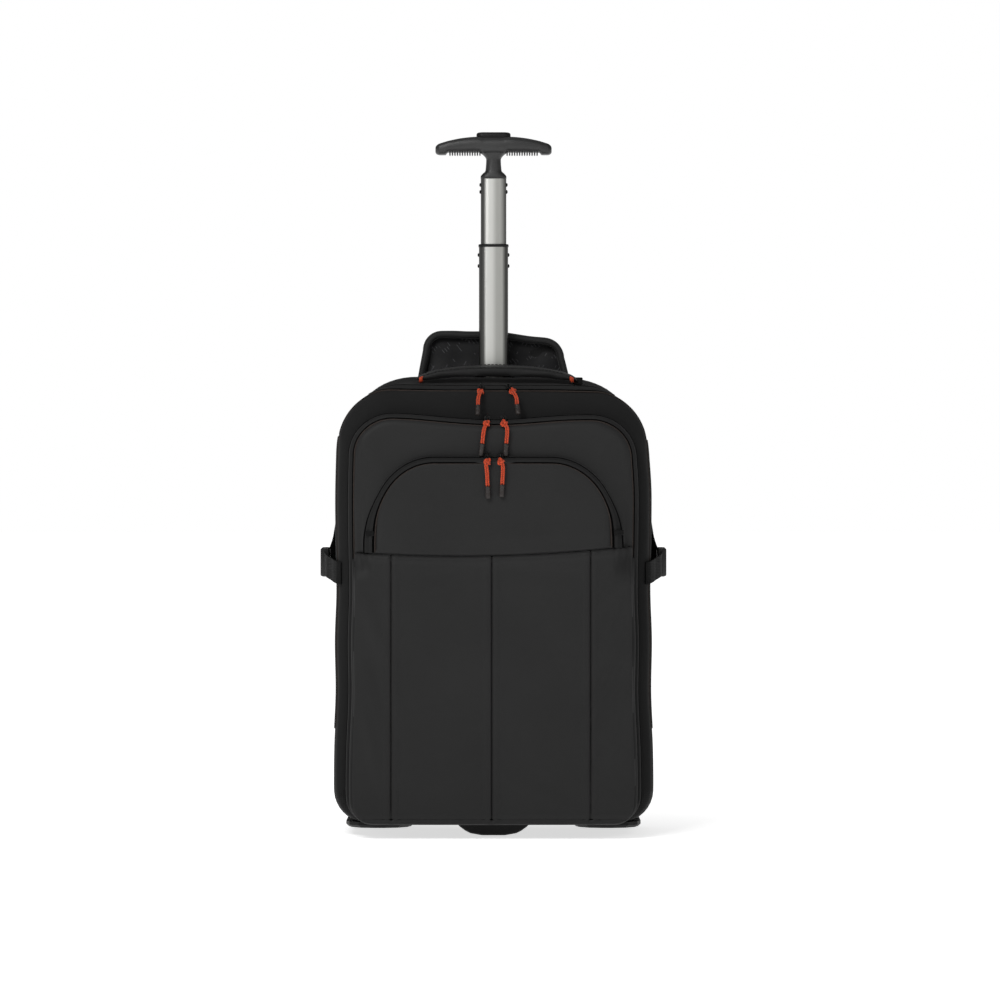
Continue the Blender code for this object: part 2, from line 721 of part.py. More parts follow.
def make_cover():
    low = BAG_TOP + CLEAR
    bm = bmesh.new()

    def ring(inset, forward, floor):
        top = HOOD_TOP - inset
        half_low, half_high = HOOD_HALF_BASE - inset, HOOD_HALF_TOP - inset
        corner = HOOD_CORNER - inset
        right = [(half_low, floor)]
        right += arc((half_high - corner, top - corner), (corner, corner), 0, 90, 5)
        outline = right + [(-x, z) for x, z in reversed(right)]
        made = []
        for x, z in outline:
            lean = (z - low) * math.tan(HOOD_LEAN)
            made.append(Vector((x, RIM_Y - forward + lean, z)))
        return made

    back, front = HOOD_BACK, HOOD_BACK + HOOD_DEPTH
    rings = [ring(HOOD_WALL, back + HOOD_WALL, low + HOOD_WALL), ring(HOOD_WALL, front, low + HOOD_WALL),
             ring(0, front, low), ring(0.0, back + HOOD_WALL, low), ring(HOOD_WALL, back, low)]
    loft(bm, rings)
    cover = finish("handle_cover", bm, "shell_cloth", smooth=50)
    width, depth = bezel_size()
    bm = bmesh.new()
    block(bm, (-width / 2 - CLEAR, TUBE_Y - depth / 2, low - HOOD_WALL),
          (width / 2 + CLEAR, TUBE_Y + depth / 2 + CLEAR, low + BEZEL_HIGH + HOOD_WALL))
    boolean(cover, finish("cover_notch", bm))


CARRY_TABLE = (  # share of the half span, share of the rise, share of the thickness, share of the tilt
    (0.00, 1.00, 1.00, 1.0),
    (0.35, 0.92, 1.00, 1.0),
    (0.65, 0.68, 0.96, 0.8),
    (0.85, 0.36, 0.80, 0.7),
    (0.95, 0.12, 0.58, 0.6),
    (1.00, 0.00, 0.45, 0.6),
)


def carry_section(row, side):
    share, rise, thick, tilt = row
    height = CARRY_THICK * thick
    low = top_height(CARRY_BACK) + CARRY_END_GAP + CARRY_THICK * CARRY_TABLE[-1][2] / 2
    middle = Vector((side * share * CARRY_HALF, RIM_Y - CARRY_BACK, low + rise * CARRY_RISE))
    turn = CARRY_TILT * tilt
    made = []
    for u, v in rounded_rectangle(CARRY_WIDTH, height, height * 0.42, 2):
        made.append(middle + Vector((0, u * math.cos(turn) - v * math.sin(turn),
                                     u * math.sin(turn) + v * math.cos(turn))))
    return made


def make_carry_handle():
    rows = [(row, -1) for row in reversed(CARRY_TABLE[1:])] + [(row, 1) for row in CARRY_TABLE]
    bm = bmesh.new()
    loft(bm, [carry_section(row, side) for row, side in rows])
    finish("carry_handle", bm, "shell_cloth", smooth=50)
    for side, label in ((-1, "l"), (1, "r")):
        section = carry_section(CARRY_TABLE[3], side)
        high = max(p.z for p in section) + CLEAR
        reach = CARRY_WIDTH / 2 + CLEAR
        bm = bmesh.new()
        rings = []
        for x in (CARRY_TAB_AT - CARRY_TAB / 2, CARRY_TAB_AT + CARRY_TAB / 2):
            front, back = CARRY_BACK + reach, CARRY_BACK - reach
            feet = [top_height(front) + CLEAR, top_height(back - CARRY_TAB_WALL) + CLEAR]
            profile = [(front + CARRY_TAB_WALL, feet[0]), (front + CARRY_TAB_WALL, high),
                       (front - 0.004, high + CARRY_TAB_WALL), (back + 0.004, high + CARRY_TAB_WALL),
                       (back - CARRY_TAB_WALL, high), (back - CARRY_TAB_WALL, feet[1]),
                       (back, feet[1]), (back, high - 0.001), (back + 0.004, high),
                       (front - 0.004, high), (front, high - 0.001), (front, feet[0])]
            rings.append([Vector((side * x, RIM_Y - f, z)) for f, z in profile])
        loft(bm, rings)
        finish("carry_tab_" + label, bm, "orange_cord")


# Wheels, their housings and the front foot

def housing_box(side):
    """The corners of a wheel housing's hard box."""
    inner, outer = HOUSING_IN, HOUSING_OUT
    low = Vector((min(side * inner, side * outer), RIM_Y + HOUSING_BEHIND - HOUSING_DEPTH, HOUSING_LOW))
    high = Vector((max(side * inner, side * outer), RIM_Y + HOUSING_BEHIND, HOUSING_HIGH))
    return low, high


def turned(bm, profile, centre, steps):
    """A closed profile of (along, radius) turned round an axis along X."""
    rings = []
    for i in range(steps):
        turn = 2 * math.pi * i / steps
        rings.append([centre + Vector((x, r * math.cos(turn), r * math.sin(turn))) for x, r in profile])
    loops = [[bm.verts.new(p) for p in ring] for ring in rings]
    for a, b in zip(loops, loops[1:] + loops[:1]):
        for i in range(len(a)):
            j = (i + 1) % len(a)
            bm.faces.new((a[i], a[j], b[j], b[i]))


def cylinder(bm, centre, radius, length, steps):
    """A solid cylinder along X."""
    rings = []
    for x in (-length / 2, length / 2):
        turns = [2 * math.pi * i / steps for i in range(steps)]
        rings.append([centre + Vector((x, radius * math.cos(t), radius * math.sin(t))) for t in turns])
    loft(bm, rings)


def make_wheel(side, label):
    centre = Vector((side * WHEEL_ACROSS, RIM_Y - WHEEL_BACK, WHEEL_RADIUS))
    low, high = housing_box(side)
    bm = bmesh.new()
    block(bm, low, high)
    housing = finish("wheel_housing_" + label, bm, "dark_plastic", smooth=30)
    bm = bmesh.new()
    rings = []
    outline = rounded_rectangle(SKID_OUT - HOUSING_IN, SKID_DEPTH + HOUSING_BEHIND, SKID_CORNER, 3)
    across = side * (HOUSING_IN + SKID_OUT) / 2
    along = RIM_Y + (HOUSING_BEHIND - SKID_DEPTH) / 2
    for z, inset in ((HOUSING_LOW, SKID_CHAMFER), (HOUSING_LOW + SKID_CHAMFER, 0.0), (BAG_LOW - CLEAR, 0.0)):
        rings.append([Vector((across + x - math.copysign(min(abs(x), inset), x),
                              along + y - math.copysign(min(abs(y), inset), y), z)) for x, y in outline])
    loft(bm, rings)
    boolean(housing, finish("skid_" + label, bm), "UNION")
    width = WHEEL_WIDTH + 2 * WELL_SIDE_GAP
    bm = bmesh.new()
    cylinder(bm, centre, WHEEL_RADIUS + WELL_GAP, width, 20)
    boolean(housing, finish("wheel_well_" + label, bm))
    bm = bmesh.new()
    reach = WHEEL_RADIUS + WELL_GAP
    block(bm, (centre.x - width / 2, centre.y - reach, -0.01),
          (centre.x + width / 2, centre.y + HOUSING_DEPTH, centre.z))
    boolean(housing, finish("wheel_mouth_" + label, bm))
    bm = bmesh.new()
    block(bm, (centre.x - width / 2, centre.y, -0.01),
          (centre.x + width / 2, centre.y + HOUSING_DEPTH, centre.z + reach * 0.8))
    boolean(housing, finish("wheel_back_" + label, bm))
    bore = AXLE_RADIUS + AXLE_PLAY
    half = WHEEL_WIDTH / 2
    profile = [(-half, bore), (-half, RIM_RADIUS * 0.52), (-half * 0.55, RIM_RADIUS * 0.60),
               (-half * 0.55, RIM_RADIUS * 0.94), (-half * 0.92, RIM_RADIUS), (-half, RIM_RADIUS * 1.12),
               (-half * 0.72, WHEEL_RADIUS * 0.985), (-half * 0.3, WHEEL_RADIUS)]
    profile += [(-x, r) for x, r in reversed(profile)]
    bm = bmesh.new()
    turned(bm, profile, Vector((0, 0, 0)), WHEEL_SIDES)
    wheel = finish("wheel_" + label, bm, "tyre_rubber")
    wheel.location = centre
    bm = bmesh.new()
    cylinder(bm, centre, AXLE_RADIUS, width - 2 * CLEAR, 16)
    finish("axle_" + label, bm, "dark_metal")


def make_foot():
    """The front foot: an arc with a small flat, standing as low as the wheels."""
    high = BAG_LOW - CLEAR
    profile = [(-FOOT_HALF, high), (-FOOT_HALF, high - 0.0022)]
    for share in (0.85, 0.65, 0.45):
        rise = (high - 0.0022) * share**2.2
        profile.append((-(FOOT_FLAT + (FOOT_HALF - FOOT_FLAT) * share), rise))
    profile.append((-FOOT_FLAT, 0.0))
    profile += [(-x, z) for x, z in reversed(profile)]
    bm = bmesh.new()
    rings = []
    for y, inset in ((-1.0, 0.0016), (-0.88, 0.0), (0.88, 0.0), (1.0, 0.0016)):
        place = RIM_Y - FOOT_PLACE + y * FOOT_DEPTH / 2
        rings.append([Vector((x, place, min(z + inset, high))) for x, z in profile])
    loft(bm, rings)
    finish("front_foot", bm, "dark_plastic")


# Side compression straps with their buckles

REAR_STRAP = (  # share of the run from the rear seam to the buckle, stand-off share, share of the height
    (0.00, 0.00, 1.00),
    (0.22, 0.10, 0.86),
    (0.50, 0.45, 0.30),
    (0.78, 0.88, 0.00),
    (1.00, 1.00, 0.00),
)
FRONT_STRAP = (
    (0.00, 1.00, 0.00),
    (0.30, 0.80, 0.00),
    (0.70, 0.18, 0.00),
    (1.00, 0.00, 0.00),
)


def side_at(forward, height):
    """How far the bag's side stands out at a place."""
    share = forward / MAIN_DEPTH
    for a, b in zip(MAIN_TABLE, MAIN_TABLE[1:]):
        if share <= b[0]:
            wide = a[1] + (b[1] - a[1]) * (share - a[0]) / (b[0] - a[0])
            return widened(HALF_WIDTH * wide, height)
    return widened(HALF_WIDTH * MAIN_TABLE[-1][1], height)


def buckle_middle():
    """The buckle's middle plane, from the bag's middle."""
    between = BUCKLE_FRONT - BUCKLE_PLUG
    return side_at(between, SIDE_STRAP_HEIGHT) + BUCKLE_STAND + BUCKLE_THICK / 2


def strap(name, side, table, start, end, wing):
    """Webbing standing on edge along the bag's side, from one place to another."""
    out = buckle_middle()
    path = []
    for share, off, tall in table:
        forward = start + (end - start) * share
        lay = side_at(forward, SIDE_STRAP_HEIGHT) + STRAP_LAY + WEB_THICK / 2
        path.append((lay + (out - lay) * off, forward, tall))
    rings = []
    for i, (x, forward, tall) in enumerate(path):
        before, after = path[max(i - 1, 0)], path[min(i + 1, len(path) - 1)]
        along = Vector((after[0] - before[0], after[1] - before[1])).normalized()
        normal = Vector((along.y, -along.x)) * WEB_THICK / 2
        if normal.x < 0:
            normal = -normal
        low = SIDE_STRAP_HEIGHT - WEB / 2
        high = SIDE_STRAP_HEIGHT + WEB / 2 + wing * tall
        ring = []
        for sign, z in ((-1, low), (1, low), (1, high), (-1, high)):
            ring.append(Vector((side * (x + sign * normal.x), RIM_Y - forward - sign * normal.y, z)))
        rings.append(ring)
    bm = bmesh.new()
    loft(bm, rings)
    return finish(name, bm, "webbing")


def make_side_straps():
    for side, label in ((-1, "l"), (1, "r")):
        socket_back = BUCKLE_FRONT - BUCKLE_PLUG - BUCKLE_SOCKET
        strap("rear_strap_" + label, side, REAR_STRAP, STRAP_REAR, socket_back - CLEAR, STRAP_WING)
        strap("front_strap_" + label, side, FRONT_STRAP, BUCKLE_FRONT + CLEAR, STRAP_FRONT, 0.0)
        middle = Vector((side * buckle_middle(), 0, SIDE_STRAP_HEIGHT))
        axes = (Vector((1, 0, 0)), Vector((0, 1, 0)), Vector((0, 0, 1)))
        for name, at, long, tall in (
            ("buckle_socket_", socket_back + BUCKLE_SOCKET / 2, BUCKLE_SOCKET - CLEAR, BUCKLE_HIGH),
            ("buckle_plug_", BUCKLE_FRONT - BUCKLE_PLUG / 2, BUCKLE_PLUG, BUCKLE_HIGH * 0.94),
        ):
            place = middle + Vector((0, RIM_Y - at, 0))
            oriented_block(name + label, place, axes, (BUCKLE_THICK, long, tall), "dark_plastic", 0.0016)


# Shoulder straps

PAD_TABLE = (  # share of the length, share of the bow, share of the width, share of the thickness
    (0.00, 0.00, 0.86, 0.45),
    (0.08, 0.12, 0.95, 0.85),
    (0.25, 0.55, 1.00, 1.00),
    (0.50, 1.00, 1.00, 1.00),
    (0.75, 0.72, 0.94, 1.00),
    (0.93, 0.18, 0.80, 0.80),
    (1.00, 0.02, 0.62, 0.42),
)


def make_shoulder_straps():
    face = RIM_Y + CLEAR + PANEL_THICK + CLEAR
    for side, label in ((-1, "l"), (1, "r")):
        rings = []
        top = Vector((PAD_TOP_ACROSS, PAD_TOP))
        low = Vector((PAD_LOW_ACROSS, PAD_LOW))
        for share, bow, wide, thick in PAD_TABLE:
            place = top.lerp(low, smoothstep(share) * 0.5 + share * 0.5)
            along = (low - top).normalized()
            across = Vector((along.y, -along.x)) * (-1)
            y = face + PAD_THICK * thick / 2 + bow * (STRAP_BOW - CLEAR - PAD_THICK)
            ring = []
            for u, v in rounded_rectangle(PAD_WIDTH * wide, PAD_THICK * thick, PAD_THICK * thick * 0.4, 2):
                ring.append(Vector((side * (place.x + across.x * u), y + v, place.y + across.y * u)))
            rings.append(ring)
        bm = bmesh.new()
        loft(bm, rings)
        finish("shoulder_pad_" + label, bm, "mesh_cloth", smooth=50)
        anchor = Vector((WEBBING_LOW_ACROSS, WEBBING_LOW))
        along = (anchor - low).normalized()
        across = Vector((-along.y, along.x))
        start = low + along * (PAD_WIDTH * 0.12)
        buckle_end = start + along * ADJUSTER_LONG
        middle = (start + buckle_end) / 2
        oriented_block("adjuster_" + label, Vector((side * middle.x, face + ADJUSTER_THICK / 2, middle.y)),
                       (Vector((side * across.x, 0, across.y)), Vector((side * along.x, 0, along.y)),
                        Vector((0, 1, 0))),
                       (WEB * 1.25, ADJUSTER_LONG, ADJUSTER_THICK), "dark_plastic", 0.0010)
        rings = []
        for share in (0.0, 0.33, 0.67, 1.0):
            place = (buckle_end + along * CLEAR).lerp(anchor, share)
            y = face + 0.0018 * math.sin(math.pi * share)
            ends = [(-WEB / 2, y), (WEB / 2, y), (WEB / 2, y + WEB_THICK), (-WEB / 2, y + WEB_THICK)]
            spots = [(place + across * u, v) for u, v in ends]
            rings.append([Vector((side * spot.x, v, spot.y)) for spot, v in spots])
        bm = bmesh.new()
        loft(bm, rings)
        finish("strap_webbing_" + label, bm, "webbing")


clear_scene()
make_bag()
make_zips()
make_handle()
make_cover()
make_carry_handle()
make_wheel(-1, "l")
make_wheel(1, "r")
make_foot()
make_side_straps()
make_shoulder_straps()
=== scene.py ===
import math

import bmesh
import bpy
from mathutils import Matrix, Vector, noise
from mathutils.bvhtree import BVHTree


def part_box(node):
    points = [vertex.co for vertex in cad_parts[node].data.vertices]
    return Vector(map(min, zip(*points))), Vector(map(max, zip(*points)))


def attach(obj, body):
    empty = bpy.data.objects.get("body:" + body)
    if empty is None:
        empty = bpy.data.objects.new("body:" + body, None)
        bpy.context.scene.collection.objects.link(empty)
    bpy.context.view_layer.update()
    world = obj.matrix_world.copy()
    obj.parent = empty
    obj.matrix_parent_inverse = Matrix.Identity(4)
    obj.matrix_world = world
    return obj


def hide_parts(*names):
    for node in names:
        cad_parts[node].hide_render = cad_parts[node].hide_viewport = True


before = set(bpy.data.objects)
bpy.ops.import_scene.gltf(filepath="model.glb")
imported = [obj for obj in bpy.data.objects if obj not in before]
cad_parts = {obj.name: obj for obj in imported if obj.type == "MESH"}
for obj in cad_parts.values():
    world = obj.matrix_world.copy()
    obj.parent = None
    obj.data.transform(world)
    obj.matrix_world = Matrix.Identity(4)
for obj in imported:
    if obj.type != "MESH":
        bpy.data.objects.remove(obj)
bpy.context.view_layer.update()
print("frame loaded:", len(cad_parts), "nodes")

sceneRoot = bpy.context.scene.collection
tiny = 0.0003  # the gap between pieces that lie on each other


# small tools

def linear(hexColour):  # sRGB hex to the linear colour that the shaders take
    parts = [int(hexColour[i:i + 2], 16) / 255 for i in (1, 3, 5)]
    return tuple(c / 12.92 if c <= 0.04045 else ((c + 0.055) / 1.055) ** 2.4 for c in parts) + (1.0,)


def node(tree, kind, links=None, **settings):
    made = tree.nodes.new(kind)
    for name, value in settings.items():
        setattr(made, name, value)
    for socket, value in (links or {}).items():
        target = made.inputs[socket]
        if isinstance(value, bpy.types.NodeSocket):
            tree.links.new(value, target)
        else:
            target.default_value = value
    return made


def newMaterial(name, colour, roughness, metallic=0.0, gloss=0.5):
    made = bpy.data.materials.new(name)
    made.use_nodes = True
    shader = made.node_tree.nodes["Principled BSDF"]
    shader.inputs["Base Color"].default_value = linear(colour)
    shader.inputs["Roughness"].default_value = roughness
    shader.inputs["Metallic"].default_value = metallic
    shader.inputs["Specular IOR Level"].default_value = gloss
    made.diffuse_color = linear(colour)
    where = node(made.node_tree, "ShaderNodeTexCoord").outputs["Object"]  # the pattern's place, in metres
    return made, made.node_tree, shader, where


def smooth(t):
    t = max(0.0, min(1.0, t))
    return t * t * (3 - 2 * t)


def readTable(rows, at, column=1):
    # a table's column as a smooth curve that never swings past its rows
    at = max(rows[0][0], min(rows[-1][0], at))
    i = next(k for k in range(1, len(rows)) if at <= rows[k][0])
    steps = [q[0] - p[0] for p, q in zip(rows, rows[1:])]
    rises = [(q[column] - p[column]) / h for (p, q), h in zip(zip(rows, rows[1:]), steps)]

    def slope(k):
        before, after = rises[max(k - 1, 0)], rises[min(k, len(rises) - 1)]
        return 0.0 if before * after <= 0 else 2 * before * after / (before + after)

    h, t = steps[i - 1], (at - rows[i - 1][0]) / steps[i - 1]
    u, v = rows[i - 1][column], rows[i][column]
    ends = u * (1 + 2 * t) * (1 - t) ** 2 + v * t * t * (3 - 2 * t)
    return ends + slope(i - 1) * h * t * (1 - t) ** 2 - slope(i) * h * t * t * (1 - t)


def arc(centre, radii, start, end, steps):
    turns = [math.radians(start + (end - start) * i / steps) for i in range(steps + 1)]
    return [(centre[0] + radii[0] * math.cos(t), centre[1] + radii[1] * math.sin(t)) for t in turns]


def shown(name, data):  # an object for the data, in the scene
    made = bpy.data.objects.new(name, data)
    sceneRoot.objects.link(made)
    return made


def makeMesh(name, verts, faces, materials, slots=None, flat=False):
    mesh = bpy.data.meshes.new(name)
    mesh.from_pydata([tuple(v) for v in verts], [], faces)
    for one in materials:
        mesh.materials.append(one)
    if slots:
        mesh.polygons.foreach_set("material_index", slots)
    if not flat:
        mesh.shade_smooth()
    mesh.update()
    return shown(name, mesh)


def faceOut(made):  # turns a closed or open piece's faces outward
    bm = bmesh.new()
    bm.from_mesh(made.data)
    bmesh.ops.remove_doubles(bm, verts=bm.verts, dist=1e-6)
    bmesh.ops.recalc_face_normals(bm, faces=bm.faces)
    bm.to_mesh(made.data)
    bm.free()
    return made


def sharpen(made, degrees=40):
    made.data.set_sharp_from_angle(angle=math.radians(degrees))
    return made


def loftMesh(name, rings, materials, caps=True, slotOf=None, around=True):
    verts, faces, slots = [], [], []
    count = len(rings[0])
    for ring in rings:
        verts += ring
    for i in range(len(rings) - 1):
        for j in range(count if around else count - 1):
            k = (j + 1) % count
            faces.append((i * count + j, i * count + k, (i + 1) * count + k, (i + 1) * count + j))
            slots.append(slotOf(i, j) if slotOf else 0)
    if caps:
        faces.append(tuple(range(count)))
        faces.append(tuple(range(len(verts) - count, len(verts))))
        slots += [0, 0]
    return faceOut(makeMesh(name, verts, faces, materials, slots))


def joinAll(name, pieces):
    # one mesh from several, in world space, with their materials
    bm = bmesh.new()
    mesh = bpy.data.meshes.new(name)
    depsgraph = bpy.context.evaluated_depsgraph_get()
    for piece in pieces:
        source = piece.evaluated_get(depsgraph).to_mesh()
        offset = []
        for one in piece.data.materials:
            if one.name not in mesh.materials:
                mesh.materials.append(one)
            offset.append(mesh.materials.find(one.name))
        before = len(bm.faces)
        bm.from_mesh(source)
        bm.faces.ensure_lookup_table()
        for face in bm.faces[before:]:
            face.material_index = offset[face.material_index] if offset else 0
        fresh = {v for face in bm.faces[before:] for v in face.verts}
        bmesh.ops.transform(bm, matrix=piece.matrix_world, verts=list(fresh))
    bm.to_mesh(mesh)
    bm.free()
    for piece in pieces:
        bpy.data.objects.remove(piece, do_unlink=True)
    return shown(name, mesh)


def tube(name, path, radius, material, sides=8, closed=False):  # a round bar along a path
    points = [Vector(p) for p in path]
    count = len(points)
    rings = []
    side = None
    for i, p in enumerate(points):
        if closed:
            along = (points[(i + 1) % count] - points[i - 1]).normalized()
        else:
            along = (points[min(i + 1, count - 1)] - points[max(i - 1, 0)]).normalized()
        if side is None:
            side = along.orthogonal().normalized()
        side = (side - along * side.dot(along)).normalized()
        other = along.cross(side)
        turns = [2 * math.pi * k / sides for k in range(sides)]
        rings.append([p + side * math.cos(turn) * radius + other * math.sin(turn) * radius for turn in turns])
    if closed:
        rings.append(rings[0])
    return loftMesh(name, rings, [material], caps=not closed)


def smoothRoute(points, steps=6):  # a smooth curve through a route's own points
    path = [Vector(p) for p in points]
    spans = [(b - a).length for a, b in zip(path, path[1:])]
    made = []
    for i, (a, b) in enumerate(zip(path, path[1:])):
        before, after = max(i - 1, 0), min(i + 2, len(path) - 1)
        start = (b - path[before]) / sum(spans[before:i + 1])
        end = (path[after] - a) / sum(spans[i:after])
        for k in range(steps):
            t = k / steps
            ends = a * (1 + 2 * t) * (1 - t) ** 2 + b * t * t * (3 - 2 * t)
            made.append(ends + (start * (1 - t) - end * t) * spans[i] * t * (1 - t))
    return made + [path[-1]]


def roundedRectangle(width, depth, corner, steps=4):
    points = []
    for turn, sx, sy in ((0, 1, 1), (90, -1, 1), (180, -1, -1), (270, 1, -1)):
        centre = (sx * (width / 2 - corner), sy * (depth / 2 - corner))
        points += arc(centre, (corner, corner), turn, turn + 90, steps)
    return points


def softBox(name, middle, axes, sizes, material, edge, segments=2):
    # a moulded block with rounded edges, turned to three axes
    bm = bmesh.new()
    bmesh.ops.create_cube(bm, size=1, matrix=Matrix.Diagonal((*sizes, 1)))
    bmesh.ops.bevel(bm, geom=bm.edges[:], offset=edge, segments=segments, affect="EDGES", profile=0.6)
    turn = Matrix([list(v) for v in axes]).transposed().to_4x4()
    bmesh.ops.transform(bm, matrix=Matrix.Translation(middle) @ turn, verts=bm.verts)
    bmesh.ops.recalc_face_normals(bm, faces=bm.faces)
    mesh = bpy.data.meshes.new(name)
    bm.to_mesh(mesh)
    bm.free()
    mesh.materials.append(material)
    mesh.shade_smooth()
    return sharpen(shown(name, mesh), 35)


def place(piece, body, slotName, *nodes):
    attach(piece, body)
    if nodes:
        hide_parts(*nodes)
    return piece


upright = worldX, worldY, worldZ = Vector((1, 0, 0)), Vector((0, 1, 0)), Vector((0, 0, 1))

# camera, as far off as the photograph's flat perspective

camera = {"distance": 5.0, "across": 0.0075, "height": 0.3814, "metresPerPixel": 0.00115, "sensor": 36.0}
cameraData = bpy.data.cameras.new("camera")
cameraData.sensor_width = camera["sensor"]
cameraData.lens = camera["sensor"] * camera["distance"] / (camera["metresPerPixel"] * 1000)
cameraData.clip_end = 50
cameraObject = shown("camera", cameraData)
cameraObject.location = (camera["across"], -camera["distance"], camera["height"])
cameraObject.rotation_euler = (math.radians(90), 0, 0)
bpy.context.scene.camera = cameraObject

# materials

def woven(tree, where, spacing):
    # crossed threads as height, from their real spacing in metres
    heights = []
    for direction in ("X", "Z"):
        wave = node(tree, "ShaderNodeTexWave", {"Vector": where, "Scale": 0.314 / spacing, "Distortion": 0.6,
                                                "Detail": 1.0, "Detail Scale": 2.0},
                                                bands_direction=direction)
        heights.append(wave.outputs["Fac"])
    return node(tree, "ShaderNodeMath", {0: heights[0], 1: heights[1]}, operation="MULTIPLY").outputs[0]


def bump(tree, shader, height, strength, distance):
    made = node(tree, "ShaderNodeBump", {"Height": height, "Strength": strength, "Distance": distance})
    tree.links.new(made.outputs["Normal"], shader.inputs["Normal"])


def colourBy(tree, shader, level, stops):
    # the surface's colour from a level of 0 to 1, through stops of (position, sRGB hex)
    ramp = node(tree, "ShaderNodeValToRGB", {"Fac": level})
    elements = ramp.color_ramp.elements
    for element, (at, colour) in ((elements[0], stops[0]), (elements[1], stops[-1])):
        element.position, element.color = at, linear(colour)
    for at, colour in stops[1:-1]:
        elements.new(at).color = linear(colour)
    tree.links.new(ramp.outputs["Color"], shader.inputs["Base Color"])


def mottle(tree, shader, where, dark, light, size, detail=4.0, low=0.35, high=0.65):
    # slow change between two colours, over patches of a real size in metres
    cloud = node(tree, "ShaderNodeTexNoise", {"Vector": where, "Scale": 1 / size, "Detail": detail})
    colourBy(tree, shader, cloud.outputs["Fac"], ((low, dark), (high, light)))
    return cloud.outputs["Fac"]


def coatedPolyester(name, dark, light, roughness, gloss=0.25, grain=0.0011, strength=0.1):
    # polyester cloth with a matt PU coating: dull, nearly black, a fine grain that only catches grazing light
    made, tree, shader, where = newMaterial(name, light, roughness, gloss=gloss)
    mottle(tree, shader, where, dark, light, 0.09, 3.0, 0.2, 0.8)
    shader.inputs["Sheen Weight"].default_value = 0.05
    shader.inputs["Sheen Roughness"].default_value = 0.5
    pores = node(tree, "ShaderNodeTexNoise", {"Vector": where, "Scale": 1 / grain, "Detail": 2.0})
    bump(tree, shader, pores.outputs["Fac"], strength, 0.0003)
    return made


def wovenPolyester(name, dark, light, roughness, spacing, strength):
    # plain woven polyester, threads drawn a little coarser than real so that they show
    made, tree, shader, where = newMaterial(name, light, roughness, gloss=0.06)
    mottle(tree, shader, where, dark, light, 0.03)
    shader.inputs["Sheen Weight"].default_value = 0.03
    bump(tree, shader, woven(tree, where, spacing), strength, 0.0005)
    return made


def mouldedNylon(name, dark, light, roughness, gloss=0.35, grit=0.0009, strength=0.12):
    # glass-filled nylon from a spark-eroded mould: black, satin, with a fine grit
    made, tree, shader, where = newMaterial(name, light, roughness, gloss=gloss)
    mottle(tree, shader, where, dark, light, 0.02)
    pores = node(tree, "ShaderNodeTexNoise", {"Vector": where, "Scale": 1 / grit, "Detail": 3.0})
    bump(tree, shader, pores.outputs["Fac"], strength, 0.0002)
    return made


def anodisedAluminiumPaintedShine():
    # satin anodised tube: grey metal, drawn lengthwise, so its gloss spreads across it
    made, tree, shader, where = newMaterial("anodisedAluminiumPaintedShine", "#a9a9a6", 0.36, 1.0)
    drawn = node(tree, "ShaderNodeMapping", {"Vector": where, "Scale": (2600, 2600, 14)}).outputs["Vector"]
    lines = node(tree, "ShaderNodeTexNoise", {"Vector": drawn, "Scale": 1.0, "Detail": 2.0})
    satin = node(tree, "ShaderNodeMapRange", {"Value": lines.outputs["Fac"], "To Min": 0.32, "To Max": 0.42})
    tree.links.new(satin.outputs["Result"], shader.inputs["Roughness"])
    # the colour across the tube is painted light: shade at its edges, a highlight to its left
    side = node(tree, "ShaderNodeSeparateXYZ", {"Vector": where}).outputs["X"]
    paintedShineAndShade = node(tree, "ShaderNodeMapRange", {"Value": side, "From Min": -0.014, "From Max": 0.014})
    colourBy(tree, shader, paintedShineAndShade.outputs["Result"], (  # painted shade at both edges and a painted highlight to the left, as in the photograph
        (0.0, "#4a4a48"), (0.1, "#5f5f5d"), (0.2, "#d2d2ce"), (0.45, "#c9c9c5"), (0.62, "#a6a6a2"),
        (0.86, "#a4a4a0"), (1.0, "#4a4a48")))
    bump(tree, shader, lines.outputs["Fac"], 0.05, 0.0001)
    return made


def braidedCord():
    # braided polyester cord in orange: bright strands, the gaps between them darkened as painted shade
    made, tree, shader, where = newMaterial("braidedCord", "#d8501c", 0.62, gloss=0.3)
    braid = node(tree, "ShaderNodeTexWave", {"Vector": where, "Scale": 330.0, "Distortion": 1.5,
                                             "Detail": 1.0}, bands_direction="DIAGONAL")
    # darker down in the braid's gaps: painted shade
    colourBy(tree, shader, braid.outputs["Fac"], ((0.0, "#6a1d08"), (1.0, "#cf4515")))
    shader.inputs["Sheen Weight"].default_value = 0.1
    bump(tree, shader, braid.outputs["Fac"], 0.5, 0.0004)
    return made


def airMesh():
    # spacer mesh on the padded back: a net of small holes, darker in each hole, partly the dark foam under it
    # and partly painted shade
    made, tree, shader, where = newMaterial("airMesh", "#1c1c1d", 0.85, gloss=0.2)
    cells = node(tree, "ShaderNodeTexVoronoi", {"Vector": where, "Scale": 1 / 0.0024, "Randomness": 0.25})
    # the cell middles, where the holes are, darker: partly the foam below, partly painted shade
    colourBy(tree, shader, cells.outputs["Distance"], ((0.16, "#0e0e0e"), (0.46, "#232324")))
    bump(tree, shader, cells.outputs["Distance"], 0.6, 0.0008)
    return made


